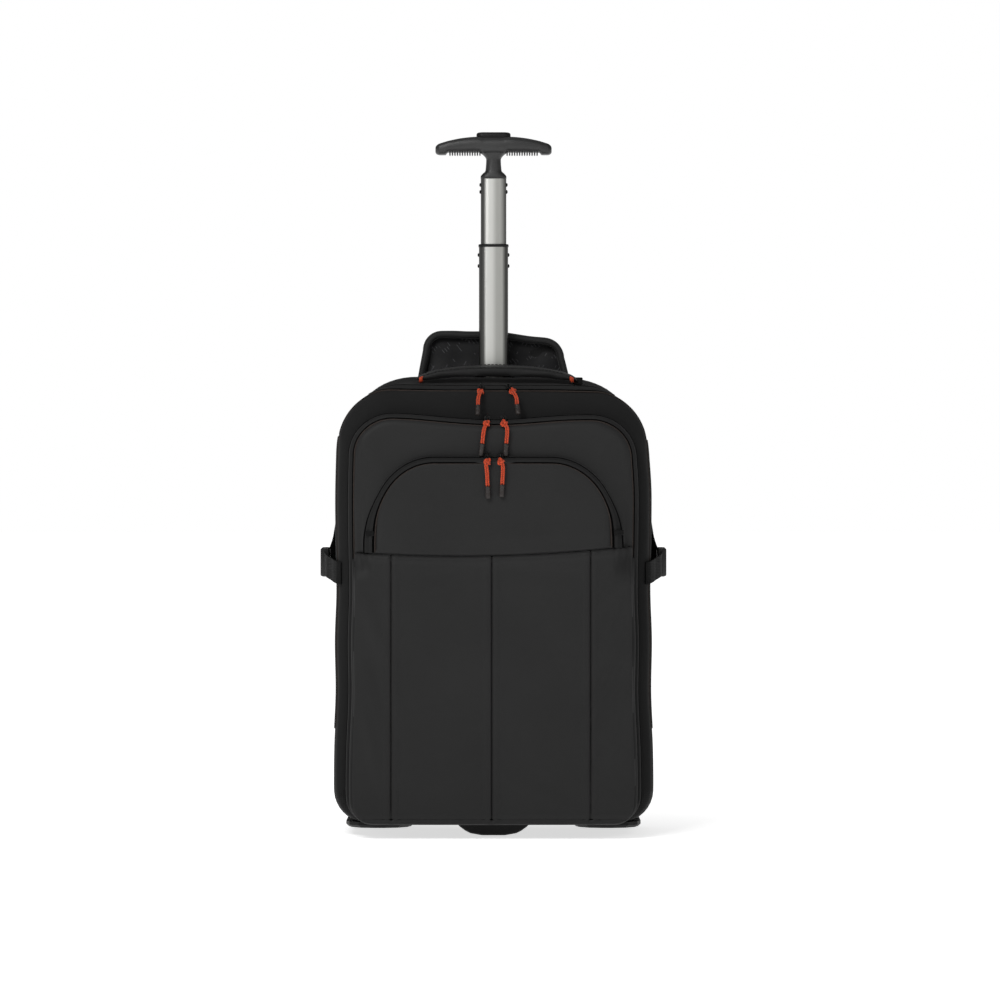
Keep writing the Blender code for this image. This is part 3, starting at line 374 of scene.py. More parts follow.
def printedLining():
    # thin taffeta lining of the grip cover, with a faint print of short slanted strokes in loose groups
    made, tree, shader, where = newMaterial("printedLining", "#1b1b1c", 0.5, gloss=0.12)
    strokes = None
    for lean, pitch in ((38, 92.0), (-30, 74.0)):
        slant = node(tree, "ShaderNodeMapping", {"Vector": where, "Rotation": (0, math.radians(lean), 0)})
        dashes = node(tree, "ShaderNodeTexWave", {"Vector": slant.outputs["Vector"], "Scale": pitch},
                      bands_direction="X")
        thin = node(tree, "ShaderNodeMath", {0: dashes.outputs["Fac"], 1: 0.9}, operation="GREATER_THAN")
        patch = node(tree, "ShaderNodeTexNoise", {"Vector": slant.outputs["Vector"], "Scale": 1.3 * pitch,
                                                  "Detail": 0.0})
        gate = node(tree, "ShaderNodeMath", {0: patch.outputs["Fac"], 1: 0.66}, operation="GREATER_THAN")
        gated = node(tree, "ShaderNodeMath", {0: thin.outputs[0], 1: gate.outputs[0]}, operation="MULTIPLY")
        strokes = node(tree, "ShaderNodeMath", {0: strokes.outputs[0], 1: gated.outputs[0]},
                       operation="MAXIMUM") if strokes else gated
    mix = node(tree, "ShaderNodeMix", {"Factor": strokes.outputs[0]}, data_type="RGBA")
    mix.inputs["A"].default_value = linear("#121213")
    mix.inputs["B"].default_value = linear("#3a3a3c")
    tree.links.new(mix.outputs["Result"], shader.inputs["Base Color"])
    bump(tree, shader, woven(tree, where, 0.0012), 0.15, 0.0003)
    return made


def plainMaterial(name, dark, light, roughness, metallic=0.0, size=0.01, gloss=0.3):
    made, tree, shader, where = newMaterial(name, light, roughness, metallic, gloss)
    cloud = mottle(tree, shader, where, dark, light, size)
    bump(tree, shader, cloud, 0.08, 0.0003)
    return made


shellCloth = coatedPolyester("coatedPolyester", "#1e1e1e", "#222222", 0.56, 0.12)
# a darker copy of the coated cloth for the walls that turn sideways and up: its darker colours are painted
# shade
shadedSideCloth = coatedPolyester("coatedPolyesterShadedSide", "#1a1a1a", "#1e1e1e", 0.74, 0.03)
baseCloth = wovenPolyester("ballisticPolyester", "#101010", "#1c1c1c", 0.62, 0.0022, 0.6)
bindingTape = wovenPolyester("bindingTape", "#0e0e0e", "#181818", 0.7, 0.0016, 0.3)
webbing = wovenPolyester("polyesterWebbing", "#0a0a0a", "#111111", 0.66, 0.0018, 0.7)
zipTape = plainMaterial("zipTape", "#1b1410", "#241b15", 0.7, 0.0, 0.004)  # brownish woven edge
zipLip = coatedPolyester("zipLip", "#1b1b1b", "#202020", 0.6, 0.05)  # turned edge of the coated cloth
paintedZipShadow = plainMaterial("paintedZipShadow", "#020202", "#040404", 0.9, 0.0, 0.004, 0.02)  # painted shadow: a near-black strip between tape and panel, where the gap lies in shade
seamShadow = plainMaterial("seamValleyPaintedShadow", "#040404", "#070707", 0.9, 0.0, 0.004, 0.02)  # painted shadow: near-black for the shaded bottom of a sewn seam
stitchThread = plainMaterial("stitchThread", "#131313", "#1a1a1a", 0.55, 0.0, 0.002)
lacquer = plainMaterial("blackLacquer", "#080808", "#101010", 0.3, 0.4, 0.003)  # lacquered zinc zip sliders
tipRubber = plainMaterial("softPvc", "#1e1a19", "#2a2523", 0.5, 0.0, 0.003)  # moulded ends of the pull cords
hardNylon = mouldedNylon("mouldedNylon", "#090909", "#0e0e0e", 0.5, 0.2)
buckleNylon = mouldedNylon("acetalBuckle", "#0e0e0e", "#161616", 0.34)
gripRubber = mouldedNylon("gripNylon", "#1a1a1a", "#222222", 0.46, 0.4, 0.0008, 0.2)
tyreRubber = mouldedNylon("polyurethaneTyre", "#0c0c0c", "#131313", 0.6, 0.25, 0.0012, 0.2)
aluminium = anodisedAluminiumPaintedShine()
steel = plainMaterial("zincSteel", "#8a8a88", "#9c9c9a", 0.35, 1.0, 0.006)
orangeCord = braidedCord()
meshCloth = airMesh()
lining = printedLining()
print("materials made:", len(bpy.data.materials))

# pull cords: two orange strands side by side, knotted under the slider, in a moulded tip

cordLay = {"width": 0.0046, "strand": 0.00108, "spread": 0.00116, "knotAt": 0.005, "knotReach": 0.0034,
           "knotStrand": 0.00135, "tipLength": 0.014, "tipWide": 0.0058, "tipThick": 0.0046}
cordRoutes = {
    "main_l": ((-0.0143, -0.0612, 0.5075), (-0.0143, -0.0643, 0.505),
               (-0.0156, -0.0728, 0.5021), (-0.0171, -0.0768, 0.4961), (-0.0173, -0.0828, 0.4886)),
    "main_r": ((0.0198, -0.061, 0.5078), (0.0214, -0.0639, 0.5056),
               (0.0236, -0.0725, 0.5023), (0.0261, -0.0765, 0.4968), (0.0269, -0.0825, 0.4893)),
    "front_l": ((-0.007, -0.0989, 0.471), (-0.007, -0.1021, 0.4686),
                (-0.0095, -0.1062, 0.4635), (-0.011, -0.1082, 0.4575), (-0.0124, -0.1088, 0.4448)),
    "front_r": ((0.0115, -0.0989, 0.4713), (0.0115, -0.1021, 0.4689),
                (0.015, -0.1062, 0.4635), (0.0156, -0.1082, 0.4575), (0.0146, -0.1088, 0.4448)),
    "pocket_l": ((-0.006, -0.1184, 0.4282), (-0.006, -0.1212, 0.4254),
                 (-0.008, -0.1234, 0.421), (-0.0072, -0.1236, 0.414), (-0.0064, -0.1222, 0.397)),
    "pocket_r": ((0.008, -0.1184, 0.4282), (0.008, -0.1212, 0.4254),
                 (0.0104, -0.1234, 0.421), (0.0108, -0.1236, 0.414), (0.01, -0.1222, 0.399)),
}


def pathLength(path):
    return sum((b - a).length for a, b in zip(path, path[1:]))


def alongPath(path, reach):  # the point and direction at a distance along a path
    for a, b in zip(path, path[1:]):
        step = (b - a).length
        if reach <= step:
            return a.lerp(b, reach / step), (b - a).normalized()
        reach -= step
    return path[-1], (path[-1] - path[-2]).normalized()


def knotLoop(middle, fall, across, reach):  # a trefoil drawn tight round the cord
    out = fall.cross(across).normalized()
    loop = []
    for i in range(42):
        t = 2 * math.pi * i / 42
        u = (math.sin(t) + 2 * math.sin(2 * t)) / 3
        v = (math.cos(t) - 2 * math.cos(2 * t)) / 3
        w = -math.sin(3 * t) * 0.45
        loop.append(middle + across * u * reach + fall * v * reach + out * w * reach)
    return loop


for label, route in cordRoutes.items():
    path = smoothRoute(route)
    strands = []
    for sign in (-1, 1):
        line = []
        for i, p in enumerate(path):
            along = (path[min(i + 1, len(path) - 1)] - path[max(i - 1, 0)]).normalized()
            across = along.cross(worldY).normalized()
            line.append(p + across * sign * cordLay["spread"])
        strands.append(tube("strand", line, cordLay["strand"], orangeCord, sides=10))
    middle, fall = alongPath(path, cordLay["knotAt"])
    across = fall.cross(worldY).normalized()
    knot = knotLoop(middle, fall, across, cordLay["knotReach"])
    strands.append(tube("knot", knot, cordLay["knotStrand"], orangeCord, sides=8, closed=True))
    cord = joinAll("pullCord_" + label, strands)
    place(cord, "root", "orange_cord", "pull_cord_" + label)
    end, fall = path[-1], (path[-1] - path[-2]).normalized()
    fall = (Vector(route[-1]) - Vector(route[-2])).normalized()
    across = fall.cross(worldY).normalized()
    out = across.cross(fall).normalized()
    rings = []
    for share, size in ((0.0, 0.72), (0.05, 0.92), (0.12, 1.0), (0.2, 1.0), (0.24, 0.9), (0.3, 0.9),
                        (0.34, 1.0), (0.42, 1.0), (0.46, 0.9), (0.52, 0.9), (0.56, 1.0), (0.92, 0.96),
                        (0.98, 0.82), (1.0, 0.55)):
        middle = end + fall * (tiny + share * cordLay["tipLength"])
        outline = roundedRectangle(cordLay["tipWide"] * size, cordLay["tipThick"] * size,
                                   cordLay["tipThick"] * size * 0.45)
        rings.append([middle + across * u + out * v for u, v in outline])
    tip = loftMesh("pullTip_" + label, rings, [tipRubber])
    place(tip, "root", "pull_rubber", "pull_tip_" + label)
print("pull cords made:", len(cordRoutes))

# floor and light: a white sweep behind the bag, dimmer to the sides and above

studio = {"floor": 80, "glow": (0.66, 1.0),
          "glowAt": (0.12, 0.7),  # the floor's own light, from its middle out
          "sweep": 1.0, "sides": 0.155, "from": 0.972, "to": 0.984, "horizon": (0.045, 0.075)}
floor = makeMesh("floor", [(x * studio["floor"], y * studio["floor"], 0)
                           for x, y in ((-1, -1), (1, -1), (1, 1), (-1, 1))], [(0, 1, 2, 3)],
                 [plainMaterial("paleFloor", "#f4f4f4", "#f7f7f7", 0.85, 0.0, 1.0)], flat=True)
floorTree = floor.data.materials[0].node_tree
floorShader = floorTree.nodes["Principled BSDF"]
floorShader.inputs["Emission Color"].default_value = (1, 1, 1, 1)
reach = node(floorTree, "ShaderNodeVectorMath", {0: node(floorTree, "ShaderNodeTexCoord").outputs["Object"]},
             operation="LENGTH").outputs["Value"]
glow = node(floorTree, "ShaderNodeMapRange", {
    "Value": reach, "From Min": studio["glowAt"][0], "From Max": studio["glowAt"][1],
    "To Min": studio["glow"][0], "To Max": studio["glow"][1]})
floorTree.links.new(glow.outputs["Result"], floorShader.inputs["Emission Strength"])
floorShader.inputs["Specular IOR Level"].default_value = 0.0

lamps = {  # name: (place, aim, size, watts)
    "key": ((-0.7, -1.4, 1.7), (0, 0, 0.45), 0.9, 25),
    "fill": ((1.4, -2.6, 1.8), (0, 0, 0.45), 1.6, 8),
    "top": ((0.0, 0.4, 3.2), (0, 0, 0.3), 2.4, 6),
}
for lampName, (spot, aim, size, watts) in lamps.items():
    light = bpy.data.lights.new(lampName, "AREA")
    light.size = size
    light.energy = watts
    lamp = shown(lampName, light)
    lamp.location = spot
    lamp.rotation_euler = (Vector(aim) - Vector(spot)).to_track_quat("-Z", "Y").to_euler()

world = bpy.data.worlds.new("studio")
world.use_nodes = True
sky = world.node_tree
direction = node(sky, "ShaderNodeTexCoord").outputs["Generated"]
split = node(sky, "ShaderNodeSeparateXYZ", {"Vector": direction}).outputs
level = node(sky, "ShaderNodeMapRange", {  # white straight behind the bag, dim elsewhere
    "Value": split["Y"], "From Min": studio["from"], "From Max": studio["to"],
    "To Min": studio["sides"], "To Max": studio["sweep"]}, interpolation_type="SMOOTHSTEP").outputs["Result"]
rise = node(sky, "ShaderNodeMath", {0: split["Z"]}, operation="ABSOLUTE").outputs[0]
band = node(sky, "ShaderNodeMapRange", {  # and a low white strip all round the horizon
    "Value": rise, "From Min": studio["horizon"][0], "From Max": studio["horizon"][1],
    "To Min": studio["sweep"], "To Max": 0.0}).outputs["Result"]
strength = node(sky, "ShaderNodeMath", {0: level, 1: band}, operation="MAXIMUM").outputs[0]
sky.nodes["Background"].inputs["Color"].default_value = (1, 1, 1, 1)
sky.links.new(strength, sky.nodes["Background"].inputs["Strength"])
bpy.context.scene.world = world
bpy.context.scene.view_settings.view_transform = "Standard"  # a white studio stays white

# soft tubs: the bag's three compartments, each an open shell with a rounded face

bag = {"halfWidth": 0.1795, "top": 0.5235, "low": 0.016, "mainDepth": 0.15, "frontDepth": 0.03,
       "pocketDepth": 0.0135, "frontHalf": 0.165, "frontTop": 0.479, "sag": 0.0065, "pocketInset": 0.005,
       "pocketHalf": 0.1385, "pocketTop": 0.431, "yoke": 0.3255, "yokeBlend": 0.004, "frontLow": 0.0148,
       "topCorner": (0.094, 0.095), "baseCorner": (0.03, 0.034), "frontTopCorner": (0.05, 0.047),
       "frontBaseCorner": (0.03, 0.03), "pocketCorner": (0.072, 0.078), "baseShare": 0.35}
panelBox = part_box("back_panel")
rimY = panelBox[0][1] - tiny  # the plane where the compartments' cloth meets the back panel
steps = {"base": 8, "side": 70, "top": 18, "columns": [j / 120 for j in range(121)],
         "pocketBase": 12, "panel": 62, "yoke": 25, "step": 8, "leg": 20, "zip": 280}
hang = {"cornerDrop": 0.0012, "cornerShift": 0.001, "yokeTilt": 0.0231}  # the top hangs, the seam tilts

sideTable = (  # share of the height, share added to the half width
    (0.0, 0.004), (0.08, 0.017), (0.16, 0.013), (0.3, -0.003), (0.4, 0.002), (0.52, -0.008),
    (0.64, -0.002),
    (0.72, 0.0), (0.85, -0.014), (0.94, -0.024), (0.97, -0.004), (1.0, 0.016),
)
mainTable = (  # share of the depth, share of the half width, drop of the top, lift of the base
    (0.0, 0.955, 0.015, 0.006), (0.04, 0.985, 0.0055, 0.0015), (0.13, 1.0, 0.0, 0.0),
    (0.3, 1.0, 0.0, 0.0), (0.45, 1.0, 0.006, 0.0), (0.7, 1.0, 0.0108, 0.0),
    (0.84, 0.998, 0.013, 0.0), (0.93, 0.98, 0.0225, 0.0004), (0.98, 0.94, 0.038, 0.002),
    (1.0, 0.905, 0.0465, 0.005),
)


def widened(x, z):  # the sides stand out a little more near the base
    return x * (1 + readTable(sideTable, (z - bag["low"]) / (bag["top"] - bag["low"])))


def warped(p):
    near = smooth((abs(p.x) - 0.05) / 0.09) * smooth((p.z - 0.385) / 0.07)
    side = math.copysign(1, p.x)
    tilt = hang["yokeTilt"] * p.x * math.exp(-((p.z - 0.322) / 0.03) ** 2)
    drop = hang["cornerDrop"] * near * side - tilt * smooth((rimY - 0.173 - p.y) / 0.008)
    return Vector((p.x - hang["cornerShift"] * near, p.y, p.z - drop))


def evenly(low, high, count):
    return [low + (high - low) * i / count for i in range(1, count + 1)]


def spread(low, high, step):
    return evenly(low, high, max(1, round((high - low) / step)))


def halfOutline(half, low, high, baseCorner, topCorner, inset=0.0, baseInset=None):
    baseInset = inset if baseInset is None else baseInset
    half, low, high = half - inset, low + baseInset, high - inset
    base = (baseCorner[0] - inset, baseCorner[1] - baseInset)
    top = [r - inset for r in topCorner]
    points = arc((half - base[0], low + base[1]), base, -90, 0, steps["base"])
    sideLow, sideHigh = low + base[1], high - top[1]
    for i in range(1, steps["side"]):
        points.append((half, sideLow + (sideHigh - sideLow) * i / steps["side"]))
    return points + arc((half - top[0], sideHigh), top, 0, 90, steps["top"])


def frontOutline(inset):
    return halfOutline(bag["frontHalf"], bag["frontLow"], bag["frontTop"], bag["frontBaseCorner"],
                       bag["frontTopCorner"], inset, inset * bag["baseShare"])


def pocketOutline(inset):
    low = bag["frontLow"] + (bag["pocketInset"] + inset) * bag["baseShare"] * 0.5
    wide = bag["frontHalf"] - bag["pocketInset"] - inset * 0.45
    narrow, top = bag["pocketHalf"] - inset, bag["pocketTop"] - inset
    corner = [r - inset for r in bag["pocketCorner"]]
    base = [r - bag["pocketInset"] - inset * 0.45 for r in bag["frontBaseCorner"]]
    yoke = bag["yoke"] - inset * 0.25
    points = arc((wide - base[0], low + base[1]), base, -90, 0, steps["pocketBase"])
    fine = yoke - 0.0175
    heights = evenly(low + base[1], fine, steps["panel"]) + evenly(fine, yoke, steps["yoke"])
    points += [(wide, z) for z in heights]
    for share in evenly(0, 1, steps["step"]):  # the level step from the full-width panel in to the arch
        points.append((wide + (narrow - wide) * share, yoke + bag["yokeBlend"] * share))
    leg = top - corner[1]
    points += [(narrow, z) for z in evenly(yoke + bag["yokeBlend"], leg, steps["leg"])[:-1]]
    return points + arc((narrow - corner[0], leg), corner, 0, 90, steps["top"])


def mainOutline(share):
    wide, drop, lift = (readTable(mainTable, share, k) for k in (1, 2, 3))
    turn = smooth((share - 0.7) / 0.3)
    corner = [u + (v - u) * turn for u, v in zip(bag["topCorner"], bag["frontTopCorner"])]
    half, low, high = bag["halfWidth"] * wide, bag["low"] + lift, bag["top"] - drop
    return halfOutline(half, low, high, bag["baseCorner"], corner)


def placed(x, z, forward, last, sag):
    dip = sag * smooth(1 - abs(x) / max(last[0], 0.01)) * smooth((z - last[1] + 0.05) / 0.05)
    return Vector((widened(x, z), rimY - forward, z - dip))


def boundary(half, forward, sag):
    # an outline's whole loop: along the base, up the right side, back over the top, down the left
    first, last, columns = half[0], half[-1], steps["columns"]
    loop = [(first[0] * (2 * u - 1), first[1]) for u in columns] + half[1:-1]
    loop += [(last[0] * (1 - 2 * j / (len(columns) - 1)), last[1]) for j in range(len(columns))]
    loop += [(-x, z) for x, z in reversed(half[1:-1])]
    return [placed(x, z, forward, last, sag) for x, z in loop]


def segmentRelief(x, z, seams):
    # sewn seams: a narrow groove with the cloth drawn up softly beside it
    height = 0.0
    for x0, z0, x1, z1, width, depth in seams:
        along = Vector((x1 - x0, z1 - z0))
        reach = max(0.0, min(1.0, ((x - x0) * along.x + (z - z0) * along.y) / along.length_squared))
        away = math.hypot(x - x0 - along.x * reach, z - z0 - along.y * reach)
        height -= depth * math.exp(-(away / width) ** 2)
        height += depth * 0.3 * math.exp(-((away - 5.0 * width) / (3.0 * width)) ** 2)
    return height


def foldRelief(x, z, folds):
    # soft folds: long low ridges, each with its place, lean in degrees, length, width and height
    height = 0.0
    for cx, cz, lean, length, width, rise in folds:
        turn = math.radians(lean)
        u = (x - cx) * math.sin(turn) + (z - cz) * math.cos(turn)
        v = (x - cx) * math.cos(turn) - (z - cz) * math.sin(turn)
        height += rise * math.exp(-(u / length) ** 2 - (v / width) ** 2)
    return height


def softTub(name, loops, half, faceAt, relief, materials, slotAt=None):
    # side loops first, then a grid over the face whose edge is the last loop
    columns, rows = steps["columns"], len(half)
    across, count = len(columns) - 1, len(loops[0])
    verts, faces = [], []
    for loop in loops:
        verts += loop
    for i in range(len(loops) - 1):
        for j in range(count):
            k = (j + 1) % count
            faces.append((i * count + j, i * count + k, (i + 1) * count + k, (i + 1) * count + j))
    base = (len(loops) - 1) * count
    index = {}
    for j in range(across + 1):
        index[0, j] = base + j
        index[rows - 1, across - j] = base + across + 1 + rows - 2 + j
    for i in range(1, rows - 1):
        index[i, across] = base + across + i
        index[i, 0] = base + count - i
    last = loops[-1]
    for i in range(1, rows - 1):
        left, right = last[index[i, 0] - base], last[index[i, across] - base]
        up = (half[i][1] - half[0][1]) / (half[-1][1] - half[0][1])
        for j in range(1, across):
            low, high = last[index[0, j] - base].z, last[index[rows - 1, j] - base].z
            z = low + (high - low) * up
            u = columns[j] + (j / across - columns[j]) * smooth((z - bag["yoke"]) / 0.03)
            x = left.x + (right.x - left.x) * u
            index[i, j] = len(verts)
            verts.append(Vector((x, faceAt(x, z, u, up), z)))
    for i in range(rows - 1):
        for j in range(across):
            faces.append((index[i, j], index[i, j + 1], index[i + 1, j + 1], index[i + 1, j]))
    made = faceOut(makeMesh(name, verts, faces, materials))
    bm = bmesh.new()
    bm.from_mesh(made.data)
    bm.normal_update()
    moves = []
    for i, v in enumerate(bm.verts):  # the face moves straight forward, its sides along their own normals
        out = -worldY if i >= base else v.normal.copy()
        moves.append((v, out * relief(v.co, out)))
    for v, move in moves:
        v.co = warped(v.co + move)
    if slotAt:
        for face in bm.faces:
            face.material_index = slotAt(face.calc_center_median())
    bm.to_mesh(made.data)
    bm.free()
    return made


# main compartment: the deep shell with its top that falls to the front

mainFinish = {"wrinkle": 0.0009, "wrinkleSize": 0.055, "guardHeight": 0.05, "rimKeep": 0.02}
mainFolds = (  # on the sides: forward of the rim, height, lean, length, width, rise
    (0.06, 0.42, 18, 0.06, 0.014, 0.0022), (0.1, 0.25, -12, 0.07, 0.016, -0.0024),
    (0.04, 0.15, 8, 0.06, 0.015, 0.0022), (0.08, 0.11, -20, 0.04, 0.012, -0.0018),
)
mainSeams = ((-0.158, 0.466, -0.148, 0.48, 0.0012, 0.0012), (0.154, 0.462, 0.146, 0.476, 0.0012, 0.0012))


def mainRelief(place, normal):
    share = (rimY - place.y) / bag["mainDepth"]
    fade = smooth(share / mainFinish["rimKeep"] / 4)
    wave = noise.noise(Vector((place.x * 0.7, place.y, place.z * 0.6)) / mainFinish["wrinkleSize"])
    rise = mainFinish["wrinkle"] * wave
    if abs(normal.x) > 0.6:
        rise += foldRelief(rimY - place.y, place.z, mainFolds)
    if normal.y < -0.5:
        rise += segmentRelief(place.x, place.z, mainSeams)
    return rise * fade


mainRows = [0.0, 0.02, 0.04, 0.07, 0.1, 0.13] + [0.13 + 0.71 * i / 24 for i in range(1, 25)]
mainRows += [0.84 + 0.14 * i / 12 for i in range(1, 13)] + [0.985, 0.99, 0.995, 1.0]
mainLoops = []
for share in mainRows:
    sag = bag["sag"] * smooth((share - 0.9) / 0.1)
    mainLoops.append(boundary(mainOutline(share), share * bag["mainDepth"], sag))
mainShell = softTub("mainCompartment", mainLoops, mainOutline(1.0),
                    lambda x, z, u, v: rimY - bag["mainDepth"], mainRelief, [shadedSideCloth, baseCloth],
                    lambda place: 1 if place.z < mainFinish["guardHeight"] else 0)
place(mainShell, "root", "shell_cloth", "main_shell")
print("main compartment made")

# front compartment: beside the arch its face comes forward to meet the pocket's lower panel

frontFinish = {"crown": 0.0028, "wrinkle": 0.0006, "wrinkleSize": 0.06, "meet": 0.0095}
frontTable = ((0.0, 0.0), (0.25, 0.0002), (0.5, 0.0006), (0.63, 0.003), (0.76, 0.0064), (0.86, 0.0085),
              (0.92, 0.0105), (0.95, 0.0125), (0.965, 0.015))
frontStart = bag["mainDepth"] + tiny
frontFolds = ((-0.14, 0.44, -35, 0.03, 0.008, 0.0012), (0.135, 0.445, 40, 0.032, 0.008, 0.0012),
              (-0.06, 0.44, 82, 0.06, 0.01, 0.0007), (0.07, 0.436, 97, 0.07, 0.01, 0.0007))


def frontFace(x, z, u, v):
    crown = (1 - abs(2 * u - 1) ** 5) * (1 - abs(2 * v - 1) ** 6)
    meet = (1 - smooth((z - 0.326) / 0.1)) * smooth((z - 0.27) / 0.03) * (1 - abs(2 * u - 1) ** 22)
    return rimY - frontStart - bag["frontDepth"] * frontTable[-1][0] - frontFinish["crown"] * crown \
        - frontFinish["meet"] * meet


def frontRelief(place, normal):
    wave = noise.noise(Vector((place.x, 0.3, place.z)) / frontFinish["wrinkleSize"])
    rise = frontFinish["wrinkle"] * wave
    rise += foldRelief(place.x, place.z, frontFolds) * smooth((-normal.y - 0.4) / 0.4)
    return rise * smooth((rimY - place.y - frontStart - 0.002) / 0.004)


def tubLoops(outlineOf, table, start, depth, sag):
    return [boundary(outlineOf(inset), start + share * depth, sag) for share, inset in table]


frontLoops = tubLoops(frontOutline, frontTable, frontStart, bag["frontDepth"], bag["sag"])
frontShell = softTub("frontCompartment", frontLoops, frontOutline(frontTable[-1][1]), frontFace, frontRelief,
                     [shellCloth, shadedSideCloth],
                     lambda place: 1 if rimY - place.y < frontStart + 0.72 * bag["frontDepth"] else 0)
place(frontShell, "root", "shell_cloth", "front_shell")

# front pocket: arched yoke above, three sewn panels below

pocketFinish = {"crown": 0.003, "wrinkle": 0.0004, "wrinkleSize": 0.05, "faceHalf": 0.1539}
pocketTable = ((0.0, 0.0), (0.38, 0.0004), (0.6, 0.003), (0.8, 0.0062), (0.9, 0.0088), (0.94, 0.011),
               (0.96, 0.0135))
pocketStart = bag["mainDepth"] + bag["frontDepth"] + 2 * tiny
pocketY = rimY - pocketStart - bag["pocketDepth"] * pocketTable[-1][0]  # the plane of its face
panelSeams = {"left": -0.115, "middle": -0.0017, "right": 0.1094, "low": 0.0225, "width": 0.001,
              "depth": 0.0022, "band": 0.0225, "yokeWidth": 0.0013, "yokeDepth": 0.0028}


def yokeSeam(x):  # the level seam, higher at its ends
    return 0.3186 + 0.302 * x * x


pocketFolds = (
    (0.128, 0.225, 26, 0.05, 0.007, 0.0022), (0.14, 0.19, 24, 0.05, 0.006, -0.0018),
    (0.122, 0.165, 28, 0.045, 0.007, 0.0018), (0.137, 0.12, 22, 0.05, 0.007, 0.0018),
    (0.12, 0.1, 32, 0.035, 0.006, -0.0012), (0.13, 0.275, 40, 0.03, 0.006, 0.0014),
    (-0.135, 0.24, -22, 0.05, 0.008, 0.0016), (-0.125, 0.16, -16, 0.06, 0.008, -0.0014),
    (-0.138, 0.11, -12, 0.05, 0.007, 0.0014), (-0.06, 0.296, 84, 0.05, 0.007, -0.0009),
    (0.06, 0.298, 94, 0.05, 0.007, -0.0009), (0.02, 0.34, 88, 0.1, 0.008, 0.0005),
    (-0.07, 0.06, 60, 0.05, 0.01, 0.0008), (0.06, 0.05, -64, 0.05, 0.01, 0.0008),
)


def pocketRise(x, z):
    corner = smooth((z - 0.34) / 0.03) * smooth((abs(x) - 0.045) / 0.04)
    wave = noise.noise(Vector((x, 0.7, z)) / pocketFinish["wrinkleSize"])
    rise = pocketFinish["wrinkle"] * wave * (1 - corner)
    rise += pocketFinish["crown"] * (1 - (x / 0.165) ** 2) * (1 - ((z - 0.215) / 0.245) ** 2)
    away = z - yokeSeam(x)
    rise -= panelSeams["yokeDepth"] * math.exp(-(away / panelSeams["yokeWidth"]) ** 2)
    rise += 0.0009 * math.exp(-((away + 0.0055) / 0.0035) ** 2)  # the lower panel laps over the yoke
    if away < 0:
        seams = [(panelSeams[k], panelSeams["low"], panelSeams[k], yokeSeam(panelSeams[k]),
                  panelSeams["width"], panelSeams["depth"]) for k in ("left", "middle", "right")]
        rise += segmentRelief(x, z, seams)
        rise -= 0.0012 * math.exp(-((z - panelSeams["band"]) / 0.002) ** 2)  # seam of the narrow base band
    return rise + foldRelief(x, z, pocketFolds)


def pocketRelief(place, normal):
    return pocketRise(place.x, place.z) * smooth((-normal.y - 0.4) / 0.4)


def pocketSkin(x, z, sink=0.0):  # a point on the pocket's face, sunk into it a little
    skin = warped(Vector((x, pocketY - pocketRise(x, z), z)))
    return Vector((skin.x, rimY - shoulderForward(skin.x, skin.z, rimY - skin.y) + sink, skin.z))


plainColumns = steps["columns"]
columns = {round(j / 190, 5) for j in range(191)}
for name in ("left", "middle", "right"):
    for off in (-0.003, -0.002, -0.0013, -0.0008, -0.0004, 0.0, 0.0004, 0.0008, 0.0013, 0.002, 0.003):
        columns.add(round(((panelSeams[name] + off) / pocketFinish["faceHalf"] + 1) / 2, 5))
steps["columns"] = sorted(columns)
pocketLoops = tubLoops(pocketOutline, pocketTable, pocketStart, bag["pocketDepth"], 0.0)
pocketShell = softTub("frontPocket", pocketLoops, pocketOutline(pocketTable[-1][1]),
                      lambda x, z, u, v: pocketY, pocketRelief, [shellCloth, shadedSideCloth],
                      lambda place: 1 if rimY - place.y < pocketStart + 0.86 * bag["pocketDepth"] else 0)
steps["columns"] = plainColumns

frontSkin = BVHTree.FromPolygons([v.co for v in frontShell.data.vertices],
                                 [tuple(face.vertices) for face in frontShell.data.polygons])


shoulder = {"out": 0.134, "outBlend": 0.008, "low": 0.29, "lowBlend": 0.03, "over": 0.0035,
            "overBlend": 0.004,
            "lay": 0.0007}


def shoulderForward(x, z, forward):  # beside the arch the lower panel lies down on the front compartment
    weight = smooth((abs(x) - shoulder["out"]) / shoulder["outBlend"])
    weight *= smooth((z - shoulder["low"]) / shoulder["lowBlend"])
    weight *= 1 - smooth((z - yokeSeam(x) - shoulder["over"]) / shoulder["overBlend"])
    if weight <= 0:
        return forward
    hit = frontSkin.ray_cast(Vector((x, -1.0, z)), worldY)[0]
    under = (rimY - hit.y if hit else frontStart) + shoulder["lay"]
    return forward + (under - forward) * weight if under < forward else forward


for v in pocketShell.data.vertices:
    v.co.y = rimY - shoulderForward(v.co.x, v.co.z, rimY - v.co.y)
place(pocketShell, "root", "shell_cloth", "pocket_shell")

seamPaths = []
for x in (panelSeams[k] for k in ("left", "middle", "right")):
    seamPaths.append([pocketSkin(x, z, 0.0002) for z in spread(panelSeams["low"], yokeSeam(x), 0.004)])
seamPaths.append([pocketSkin(x, yokeSeam(x), 0.0004) for x in (-0.1535 + 0.307 * i / 90 for i in range(91))])
seamPaths.append([pocketSkin(-0.135 + 0.27 * i / 60, panelSeams["band"], 0.0003) for i in range(61)])
# near-black tubes laid along each seam groove, as painted shadow
seamShadowTubes = [tube("seam", path, 0.0007 if i == 3 else 0.0005, seamShadow, sides=5)
               for i, path in enumerate(seamPaths)]
place(joinAll("pocketSeamShadows", seamShadowTubes), "root", "shell_cloth")
print("front compartment and pocket made")

# zips: tape, turned lip and a near-black strip of painted shadow for the gap beside it, swept round each
# compartment's edge

